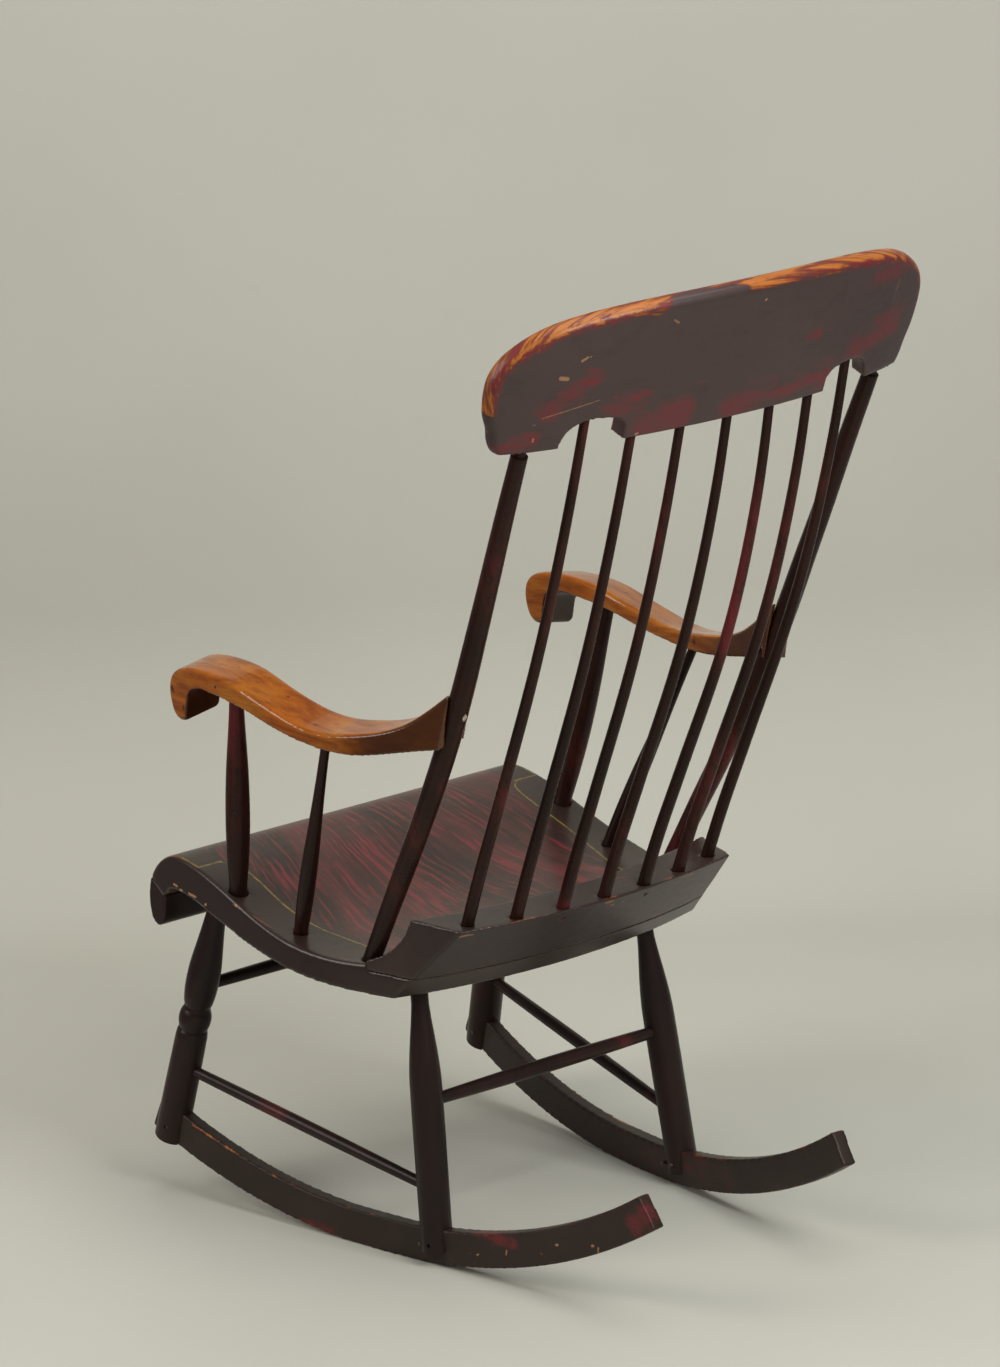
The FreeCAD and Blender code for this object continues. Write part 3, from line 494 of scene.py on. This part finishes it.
def arm_wood(name, seed, spots):
    """Amber varnished wood, darkened by painted shade where the piece stores it."""
    r = Recipe(name)
    shift = (seed * 1.3, seed * 0.7, seed * 2.1)
    grain = r.noise(26.0, 4.0, 0.6, r.stretched((3.0, 0.50, 3.0), shift), distortion=0.5)
    line = r.noise(90.0, 3.0, 0.6, r.stretched((2.2, 0.16, 2.2), shift), distortion=0.2)
    cloud = r.noise(13.0, 3.0, 0.55, r.stretched((1, 0.7, 1), shift))
    pore = r.noise(300.0, 2.0, 0.5, r.stretched((2.6, 0.22, 2.6), shift))
    spot = r.noise(75.0, 1.0, 0.4, r.stretched((1, 1, 1), shift))
    fine = r.noise(220.0, 2.0, 0.5, r.stretched((1, 1, 1), shift))
    color = r.mix(r.step(cloud, 0.36, 0.56), ARM_GOLD, ARM_AMBER)
    color = r.glaze(color, ARM_BROWN, r.step(grain, 0.40, 0.70), 0.8)
    color = r.glaze(color, ARM_BROWN, r.step(line, 0.46, 0.70), 0.45)
    color = r.glaze(color, ARM_BROWN, r.step(cloud, 0.52, 0.74), 0.7)
    color = r.glaze(color, ARM_DARK, r.step(pore, 0.55, 0.8), 0.3)
    color = r.glaze(color, ARM_DARK, r.step(spot, 0.72, 0.80), 0.8)
    # Painted shade: the stored mask darkens the sides, underside and hollow toward ARM_DARK
    dirt = r.around(cloud, 0.6, r.mask("dirt"))
    color = r.glaze(color, ARM_DARK, r.step(dirt, 0.10, 1.0), 0.93)
    dents = r.marks(spots, r.math("SUBTRACT", fine, 0.5), 0.4, 1.1)
    color = r.glaze(color, ARM_DARK, dents, 0.85)
    rough = r.math("MULTIPLY_ADD", cloud, 0.16, 0.22)
    height = r.math("MULTIPLY_ADD", grain, 0.4, r.math("MULTIPLY", pore, 0.25))
    height = r.math("SUBTRACT", height, r.math("MULTIPLY", dents, 0.9))
    normal = r.bump(height, WOOD_RELIEF, 0.25)
    return r.surface(color, rough, normal, coat=0.75, coat_roughness=0.07, specular=0.05)


def seat_line(r, side_x, y, lane):
    """The yellow line leaves the front edge, steps inward and then follows the side of the seat."""
    rear = r.step(y, LINE_STEP - 0.0008, LINE_STEP + 0.0008)
    fade = r.step(y, *LINE_FADE, flip=True)
    off_lane = r.math("ABSOLUTE", r.math("SUBTRACT", side_x, lane))
    lines = r.math("MULTIPLY", r.step(off_lane, 0.0008, 0.0015, flip=True), rear)
    lines = r.math("MULTIPLY", lines, fade)
    off_step = r.math("ABSOLUTE", r.math("SUBTRACT", y, LINE_STEP))
    from_inner = r.step(side_x, LINE_STEP_INNER, LINE_STEP_INNER + LINE_STEP_BLUR)
    to_outer = r.step(side_x, LINE_STEP_OUTER, LINE_STEP_OUTER + LINE_STEP_BLUR, flip=True)
    within = r.math("MULTIPLY", from_inner, to_outer)
    across = r.math("MULTIPLY", r.step(off_step, 0.0009, 0.0016, flip=True), within)
    lines = r.math("MAXIMUM", lines, across)
    off_front = r.math("ABSOLUTE", r.math("SUBTRACT", side_x, LINE_STEP_OUTER))
    front = r.step(off_front, 0.0010, 0.0018, flip=True)
    front = r.math("MULTIPLY", front, r.math("SUBTRACT", 1.0, rear))
    return r.math("MAXIMUM", lines, front)


def seat_grain(r, x, y, z):
    """Wavy red strokes from front to back over brown: their colour and the strokes themselves."""
    sway = r.noise(6.0, 2.0, 0.5, r.stretched((1.0, 1.0, 1.0), (3.1, 0.4, 0.0)))
    fan = r.math("DIVIDE", x, r.math("MULTIPLY_ADD", y, FAN_PER_METRE, FAN_WIDTH))
    bent = r.joined(r.around(sway, 0.045, fan), r.math("MULTIPLY", y, 0.075), r.math("MULTIPLY", z, 0.06))
    stroke = r.noise(215.0, 3.0, 0.60, bent)
    gather = r.noise(28.0, 2.0, 0.5, bent)
    patches = r.noise(16.0, 2.0, 0.5, r.stretched((1.0, 0.6, 1.0), (0.0, 1.3, 0.0)))
    color = r.mix(r.step(gather, 0.40, 0.62), SEAT_BLACK, SEAT_BROWN)
    strength = r.math("MULTIPLY", r.step(stroke, 0.48, 0.64), r.step(patches, 0.25, 0.50))
    color = r.glaze(color, SEAT_RED, strength, 0.62)
    return r.glaze(color, SEAT_RED, r.step(patches, 0.60, 0.78), 0.30), stroke


def seat_paint(name, chips, wears):
    """Grain painting with a yellow line round it, on a plain brown seat, with painted shade on its side
    faces and a painted sheen on its front ridge.
    """
    r = Recipe(name)
    fine = r.noise(150.0, 3.0, 0.6)
    speck = r.noise(430.0, 2.0, 0.5)
    broad = r.noise(8.0, 3.0, 0.5)
    x, y, z = r.axes()
    side_x = r.math("ABSOLUTE", x)
    share = r.math("MULTIPLY_ADD", y, 1 / LINE_RUN, -LINE_FRONT / LINE_RUN)
    lane = r.math("MULTIPLY", r.curve(share, LINE_LANE), LINE_WIDEST)

    plain = r.mix(r.step(broad, 0.35, 0.75), SEAT_PLAIN, shade(SEAT_PLAIN, 1.35))
    grained, stroke = seat_grain(r, x, y, z)
    inside_line = r.around(fine, 0.012, r.math("SUBTRACT", lane, side_x))
    panel = r.math("MULTIPLY", r.step(inside_line, 0.002, 0.012), r.mask("panel"))
    color = r.mix(panel, plain, grained)

    kept = r.step(r.math("MULTIPLY_ADD", speck, 0.5, fine), 0.60, 0.82)
    kept = r.math("MULTIPLY_ADD", kept, 0.55, 0.25)
    color = r.mix(r.math("MULTIPLY", seat_line(r, side_x, y, lane), kept), color, STRIPE_YELLOW)
    # Painted shade: faces turned to the sides are darkened toward SEAT_SIDE
    color = r.glaze(color, SEAT_SIDE, r.mask("side"), 0.8)
    # Painted sheen: the front ridge is lightened toward grey where it catches the backdrop's reflection
    painted_sheen = r.math("MULTIPLY", r.mask("ridge"), r.math("MULTIPLY_ADD", fine, 0.5, 0.25))
    color = r.mix(painted_sheen, color, RIDGE_PAINTED_SHEEN)

    rub = r.around(fine, 1.0, r.mask("bare"))
    bare_share = r.math("MULTIPLY", r.step(rub, 0.50, 0.80), 0.6)
    worn = r.marks(wears, r.math("MULTIPLY", r.math("SUBTRACT", fine, 0.5), 1.6), 0.5, 1.1)
    bare_share = r.math("MAXIMUM", bare_share, r.math("MULTIPLY", worn, 0.7))
    color = r.mix(bare_share, color, r.mix(r.step(fine, 0.40, 0.7), BARE_BROWN, RUBBED_ORANGE))
    chip = r.marks(chips, r.math("SUBTRACT", fine, 0.5), 0.6, 1.0)
    chip = r.math("MAXIMUM", chip, r.math("MULTIPLY", r.step(speck, 0.82, 0.87), 0.6))
    color = r.mix(chip, color, CHIP_PALE)

    rough = r.math("MULTIPLY_ADD", fine, 0.12, 0.24)
    rough = r.math("MULTIPLY_ADD", broad, 0.08, rough)
    height = r.math("SUBTRACT", r.math("MULTIPLY", stroke, 0.20), r.math("MULTIPLY", bare_share, 0.6))
    normal = r.bump(height, PAINT_RELIEF, 0.4)
    return r.surface(color, rough, normal, coat=0.2, coat_roughness=0.20, specular=0.35)


def iron(name):
    r = Recipe(name)
    fine = r.noise(500.0, 3.0, 0.6)
    color = r.mix(r.step(fine, 0.4, 0.65), IRON_DARK, IRON_RUSTY)
    return r.surface(color, r.math("MULTIPLY_ADD", fine, 0.3, 0.45), r.bump(fine, WOOD_RELIEF, 0.6))


def plug_wood(name):
    r = Recipe(name)
    fine = r.noise(700.0, 3.0, 0.6)
    color = r.mix(r.step(fine, 0.35, 0.7), PLUG_BROWN, PLUG_PALE)
    return r.surface(color, 0.6, r.bump(fine, WOOD_RELIEF, 0.7))


def studio_paper(name):
    r = Recipe(name)
    cloud = r.noise(1.3, 3.0, 0.5)
    scuff = r.noise(14.0, 4.0, 0.65)
    color = r.mix(r.step(cloud, 0.3, 0.7), PAPER_DEEP, PAPER_PALE)
    color = r.glaze(color, PAPER_SCUFF, r.step(scuff, 0.62, 0.8), 0.12)
    r.surface(color, 0.8, None, specular=0.2)

    # From behind, the paper doesn't hide the chair
    shader = r.out.inputs[0].links[0].from_socket
    path = r.tree.nodes.new("ShaderNodeLightPath")
    geometry = r.tree.nodes.new("ShaderNodeNewGeometry")
    hidden = r.math("MULTIPLY", path.outputs["Is Camera Ray"], geometry.outputs["Backfacing"])
    choice = r.tree.nodes.new("ShaderNodeMixShader")
    clear = r.tree.nodes.new("ShaderNodeBsdfTransparent")
    r.feed(choice.inputs[0], hidden)
    r.tree.links.new(shader, choice.inputs[1])
    r.tree.links.new(clear.outputs[0], choice.inputs[2])
    r.tree.links.new(choice.outputs[0], r.out.inputs[0])
    return r.material


# Worn copies of carved and sawn pieces

SHARP_ANGLE = math.radians(28)
SHARP_SPACING = 0.002
WELD_GAP = 1e-6
TINY = 1e-12
FAR = 1.0


def sharp_points(mesh):
    """Points along the hard edges of a mesh."""
    found = []
    faces_of = {}
    for face in mesh.polygons:
        for key in face.edge_keys:
            faces_of.setdefault(key, []).append(face.index)
    normals = [face.normal.copy() for face in mesh.polygons]
    for key, faces in faces_of.items():
        if len(faces) == 2 and normals[faces[0]].angle(normals[faces[1]], 0.0) < SHARP_ANGLE:
            continue
        a = mesh.vertices[key[0]].co
        b = mesh.vertices[key[1]].co
        count = max(1, int((b - a).length / SHARP_SPACING))
        for i in range(count + 1):
            found.append(a.lerp(b, i / count))
    return found


def welded(source):
    """A copy of a node's mesh with its doubled corners joined."""
    bm = bmesh.new()
    bm.from_mesh(source.data)
    bmesh.ops.remove_doubles(bm, verts=bm.verts, dist=WELD_GAP)
    mesh = bpy.data.meshes.new(source.name + "_worn")
    bm.to_mesh(mesh)
    bm.free()
    return mesh


def worn_copy(node, voxel, passes):
    """A piece with rubbed edges that stands for a CAD node, and its corners' distance from the edges."""
    mesh = welded(NODES[node])
    points = sharp_points(mesh)
    piece = bpy.data.objects.new(node + "_worn", mesh)
    bpy.context.scene.collection.objects.link(piece)
    remesh = piece.modifiers.new("remesh", "REMESH")
    remesh.mode = "VOXEL"
    remesh.voxel_size = voxel
    soften = piece.modifiers.new("soften", "SMOOTH")
    soften.factor = 0.5
    soften.iterations = passes
    graph = bpy.context.evaluated_depsgraph_get()
    piece.data = bpy.data.meshes.new_from_object(piece.evaluated_get(graph))
    piece.modifiers.clear()
    for face in piece.data.polygons:
        face.use_smooth = True
    tree = KDTree(len(points))
    for i, point in enumerate(points):
        tree.insert(point, i)
    tree.balance()
    distance = np.array([tree.find(v.co)[2] for v in piece.data.vertices])
    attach(piece, "root")
    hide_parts(node)
    return piece, distance


def per_corner(piece, what):
    """The corners' places (co) or directions (normal), one row for each."""
    values = np.zeros(len(piece.data.vertices) * 3, np.float32)
    piece.data.vertices.foreach_get(what, values)
    return values.reshape(-1, 3).astype(float)


def store(piece, **masks):
    """Masks from 0 to 1, kept at the corners for the piece's material."""
    for name, values in masks.items():
        layer = piece.data.attributes.new(name, "FLOAT", "POINT")
        layer.data.foreach_set("value", np.clip(values, 0, 1).astype(np.float32))


def ramp(values, start, length):
    """0 up to the start, 1 from that length on."""
    return np.clip((values - start) / length, 0, 1)


def by_edge(distance, most, reach):
    """That much on the edge, and less by 1 for each reach away from it."""
    return most - distance / reach


def line_gap(points, a, b):
    """Distance of points from the line between two ends, in the plane or in space."""
    run = b - a
    share = np.clip(((points - a) @ run) / max(run @ run, TINY), 0, 1)
    return np.linalg.norm(points - (a + share[:, None] * run), axis=1)


def near_lines(points, lines):
    """Soft mask along lines (end, end, half width): most on the line, 0 a little past its half width."""
    total = np.zeros(len(points))
    for a, b, width in lines:
        total = np.maximum(total, LINE_PEAK - line_gap(points, np.array(a), np.array(b)) / width)
    return np.clip(total, 0, LINE_PEAK)


def outline_gap(flat):
    """Distance of points in a plane from the outline that a string round all of them would take."""
    order = np.lexsort((flat[:, 1], flat[:, 0]))
    chain = []
    for step in (order, order[::-1]):
        part = []
        for i in step:
            while len(part) > 1:
                a = flat[part[-2]]
                b = flat[part[-1]]
                if (b[0] - a[0]) * (flat[i][1] - a[1]) - (b[1] - a[1]) * (flat[i][0] - a[0]) > 0:
                    break
                part.pop()
            part.append(i)
        chain += part[:-1]
    hull = flat[chain]
    gap = np.full(len(flat), FAR)
    for a, b in zip(hull, np.roll(hull, -1, axis=0)):
        gap = np.minimum(gap, line_gap(flat, a, b))
    return gap


def seat_frame(points):
    """The same points as they stand when the seat is level, before the chair leans back."""
    y = points[:, 1] - REST_SHIFT_Y
    z = points[:, 2] - REST_SHIFT_Z
    level_y = y * math.cos(REST_LEAN) - z * math.sin(REST_LEAN)
    level_z = y * math.sin(REST_LEAN) + z * math.cos(REST_LEAN)
    return points[:, 0], level_y, level_z


def dress(obj, material):
    obj.data.materials.clear()
    obj.data.materials.append(material)


def dress_seat():
    seat, edge = worn_copy("seat_plank", voxel=0.0020, passes=2)
    _, level_y, level_z = seat_frame(per_corner(seat, "co"))
    facing = per_corner(seat, "normal")
    store(
        seat,
        bare=by_edge(edge, most=0.72, reach=0.0030),
        panel=ramp(level_y, PANEL_FROM, 0.035) * ramp(facing[:, 2], 0.15, 0.3),
        # ridge: the front ridge, which gets a painted sheen
        ridge=ramp(level_z, RIDGE_FROM, 0.022),
        # side: faces turned sideways, which get painted shade
        side=ramp(np.abs(facing[:, 0]), 0.5, 0.3),
    )
    dress(seat, seat_paint("grained_seat_paint", SEAT_CHIPS, SEAT_WEAR))


def dress_roll():
    roll, edge = worn_copy("seat_front_roll", voxel=0.0018, passes=2)
    store(
        roll,
        bare=by_edge(edge, most=0.55, reach=0.0026),
        red=by_edge(edge, most=0.4, reach=0.01),
        chip=by_edge(edge, most=0.2, reach=0.003),
    )
    dress(roll, painted("dark_paint_roll", 6.0, SEAT_SIDE, LEG_WARM, red=0.34, masks=True, gloss=0.32,
                        specular=0.25))


def dress_ledge():
    ledge, edge = worn_copy("seat_back_ledge", voxel=0.0018, passes=2)
    worn = 0.55 * near_lines(per_corner(ledge, "co"), LEDGE_WEAR)
    store(
        ledge,
        bare=np.maximum(by_edge(edge, most=0.55, reach=0.0030), worn),
        red=by_edge(edge, most=0.3, reach=0.012),
        chip=by_edge(edge, most=0.35, reach=0.003),
    )
    dress(ledge, painted("dark_paint_ledge", 5.0, LEDGE_DARK, LEDGE_WARM, red=0.32, lean=(0.6, 1, 1),
                         masks=True, gloss=0.32, chip_marks=LEDGE_CHIPS, specular=0.4))


def dress_crest():
    """The rubbed band follows the rounded crown, most of all in its middle, but for one kept patch."""
    crest, edge = worn_copy("crest_rail", voxel=0.0020, passes=6)
    places = per_corner(crest, "co")
    height = (places - CREST_FOOT) @ np.array((0.0, math.sin(CREST_TILT), math.cos(CREST_TILT)))
    rim = outline_gap(np.column_stack((places[:, 0], height)))
    rim = np.where(height > CROWN_FROM, rim, FAR)
    middle = ramp(-np.abs(places[:, 0] - MOST_RUBBED_X), -MOST_RUBBED_HALF, 0.06)
    band = (0.50 + 0.18 * middle) * np.clip(LINE_PEAK - rim / RUBBED_BAND, 0, 1.15)
    red_band = by_edge(rim, most=0.90, reach=RED_BAND)
    kept = 0.8 * near_lines(places, [CROWN_KEPT])
    store(
        crest,
        bare=np.maximum(band - kept, by_edge(edge, most=0.50, reach=0.004)),
        rim=rim,
        red=np.maximum(red_band - kept, by_edge(edge, most=0.50, reach=0.012)),
        chip=by_edge(edge, most=0.35, reach=0.003),
    )
    dress(crest, painted("dark_paint_crest", 4.0, CREST_DARK, CREST_WARM, red=0.30, lean=(0.6, 1, 1),
                         masks=True, gloss=0.46, red_marks=CREST_RED, chip_marks=CREST_CHIPS,
                         scratch_marks=CREST_SCRATCHES, pale=0.2, coat=0.2, specular=0.22,
                         rim_streaks=True))


def dress_rocker(node, wear, paint):
    """Rubbed along its edges, where feet have stood, and all round its rear end."""
    rocker, edge = worn_copy(node, voxel=0.0018, passes=3)
    places = per_corner(rocker, "co")
    rubbed = np.maximum(by_edge(edge, most=0.62, reach=0.0030), 0.6 * near_lines(places, wear))
    rear_end = ramp(places[:, 1], ROCKER_END_FROM, 0.02)
    store(
        rocker,
        bare=np.maximum(rubbed, rear_end * by_edge(edge, most=1.05, reach=0.0050)),
        red=by_edge(edge, most=0.45, reach=0.010),
        chip=by_edge(edge, most=0.38, reach=0.003),
    )
    dress(rocker, paint)


def dress_arm(node, wood):
    """Painted shade darkens the rear sides, the underside and the hollow behind the rolled front, chosen
    by the way the faces turn.
    """
    arm, _ = worn_copy(node, voxel=0.0016, passes=4)
    y = per_corner(arm, "co")[:, 1]
    facing = per_corner(arm, "normal")
    # Painted shade on faces turned sideways or back, turned down, or turned back inside the front hollow
    turned_out = ramp(np.maximum(np.abs(facing[:, 0]), 1.4 * facing[:, 1]), 0.5, 0.3)
    sides = np.minimum(ramp(y, ARM_SHADE_FROM, 0.13), 0.9) * turned_out
    under = ramp(-facing[:, 2], 0.15, 0.35)
    hollow = ramp(facing[:, 1], 0.25, 0.3) * (y < ARM_HOLLOW_BEFORE)
    store(arm, dirt=np.maximum(np.maximum(sides, under), hollow))
    dress(arm, wood)


def dress_plain_nodes():
    """The CAD nodes that show as they are, and those that the worn copies replace."""
    legs = painted("dark_paint_legs", 1.0, LEG_DARK, LEG_WARM, red=0.40, lean=(1, 1, 0.35), gloss=0.30,
                   specular=0.18)
    sticks = painted("dark_paint_back", 2.0, BACK_DARK, BACK_WARM, red=0.47, lean=(1, 1, 0.22), gloss=0.26,
                     chip_marks=POST_CHIPS, specular=0.14)
    dark_iron = iron("dark_iron")
    pale_plug = plug_wood("pale_plug")
    for label, node in NODES.items():
        if label.startswith(("back_spindle", "back_post", "arm_front_support", "arm_rear_support")):
            dress(node, sticks)
        elif label.startswith("arm_plug"):
            dress(node, pale_plug)
        elif label.startswith(("arm_screw", "rocker_pin")):
            dress(node, dark_iron)
        else:
            dress(node, legs)


dress_plain_nodes()
dress_seat()
dress_roll()
dress_ledge()
dress_crest()
dress_rocker("rocker_left", ROCKER_WEAR, painted(
    "dark_paint_rocker_left", 3.0, ROCKER_DARK, ROCKER_WARM, red=0.40, lean=(1, 0.5, 1), masks=True,
    red_marks=ROCKER_RED, chip_marks=ROCKER_CHIPS, brushed=(1, 0.3, 1), specular=0.22))
dress_rocker("rocker_right", over_x(ROCKER_WEAR), painted(
    "dark_paint_rocker_right", 3.6, ROCKER_DARK, ROCKER_WARM, red=0.42, lean=(1, 0.5, 1), masks=True,
    brushed=(1, 0.3, 1), specular=0.22))
dress_arm("arm_left", arm_wood("arm_wood_left", 1.0, ARM_SPOTS))
dress_arm("arm_right", arm_wood("arm_wood_right", 2.0, over_x(ARM_SPOTS[1:])))


# Floor, backdrop, light and camera

AWAY = Vector((-math.sin(CAMERA_AZIMUTH), math.cos(CAMERA_AZIMUTH), 0))
ASIDE = Vector((math.cos(CAMERA_AZIMUTH), math.sin(CAMERA_AZIMUTH), 0))


def studio_sweep():
    """One sheet of paper: flat from the camera past the chair, then bent up to a low wall."""
    profile = [(FLOOR_NEAR, 0.0), (SWEEP_START, 0.0)]
    for i in range(1, SWEEP_PARTS + 1):
        angle = math.radians(90 * i / SWEEP_PARTS)
        reach = SWEEP_START + SWEEP_RADIUS * math.sin(angle)
        profile.append((reach, SWEEP_RADIUS * (1 - math.cos(angle))))
    profile.append((SWEEP_START + SWEEP_RADIUS, SWEEP_TOP))
    verts = []
    for d, z in profile:
        for s in (FLOOR_LEFT, FLOOR_RIGHT):
            verts.append(AWAY * d + ASIDE * s + Vector((0, 0, z)))
    faces = []
    for i in range(0, 2 * len(profile) - 2, 2):
        faces.append((i, i + 1, i + 3, i + 2))
    mesh = bpy.data.meshes.new("studio_sweep")
    mesh.from_pydata(verts, [], faces)
    for face in mesh.polygons:
        face.use_smooth = True
    floor = bpy.data.objects.new("studio_sweep", mesh)
    bpy.context.scene.collection.objects.link(floor)
    dress(floor, studio_paper("studio_paper"))


def toward(azimuth_degrees, elevation_degrees, distance):
    """Point in that direction from the middle of the chair."""
    a = math.radians(azimuth_degrees)
    e = math.radians(elevation_degrees)
    return Vector((math.cos(a) * math.cos(e), math.sin(a) * math.cos(e), math.sin(e))) * distance


def softbox(name, place, size, power, tint):
    lamp = bpy.data.lights.new(name, "AREA")
    lamp.shape = "SQUARE"
    lamp.size = size
    lamp.energy = power
    lamp.color = tint
    obj = bpy.data.objects.new(name, lamp)
    bpy.context.scene.collection.objects.link(obj)
    obj.location = place
    obj.rotation_euler = (LIGHT_TARGET - place).to_track_quat("-Z", "Y").to_euler()


def room_light():
    world = bpy.data.worlds.new("room")
    bpy.context.scene.world = world
    world.use_nodes = True
    background = world.node_tree.nodes["Background"]
    background.inputs["Color"].default_value = ROOM_COLOR
    background.inputs["Strength"].default_value = ROOM_STRENGTH


def photo_camera():
    data = bpy.data.cameras.new("camera")
    data.sensor_width = SENSOR
    data.lens = FOCAL_PIXELS * SENSOR / max(IMAGE_WIDTH, IMAGE_HEIGHT)
    camera = bpy.data.objects.new("camera", data)
    bpy.context.scene.collection.objects.link(camera)
    back = Vector((math.sin(CAMERA_AZIMUTH) * math.cos(CAMERA_ELEVATION),
                   -math.cos(CAMERA_AZIMUTH) * math.cos(CAMERA_ELEVATION),
                   math.sin(CAMERA_ELEVATION)))
    level_up = back.cross(ASIDE)
    right = math.cos(CAMERA_ROLL) * ASIDE + math.sin(CAMERA_ROLL) * level_up
    up = back.cross(right)
    camera.matrix_world = Matrix((
        (right.x, up.x, back.x, CAMERA_PLACE.x),
        (right.y, up.y, back.y, CAMERA_PLACE.y),
        (right.z, up.z, back.z, CAMERA_PLACE.z),
        (0, 0, 0, 1),
    ))
    bpy.context.scene.camera = camera


studio_sweep()
softbox("softbox_left", toward(-24, 38, 3.2), size=1.6, power=41, tint=(1.0, 0.97, 0.92))
softbox("softbox_right", toward(88, 42, 3.4), size=1.4, power=64, tint=(0.97, 0.98, 1.0))
softbox("softbox_above", Vector((-0.3, 0.5, 3.5)), size=2.4, power=50, tint=(1.0, 1.0, 0.98))
room_light()
photo_camera()
bpy.context.scene.view_settings.view_transform = "Standard"
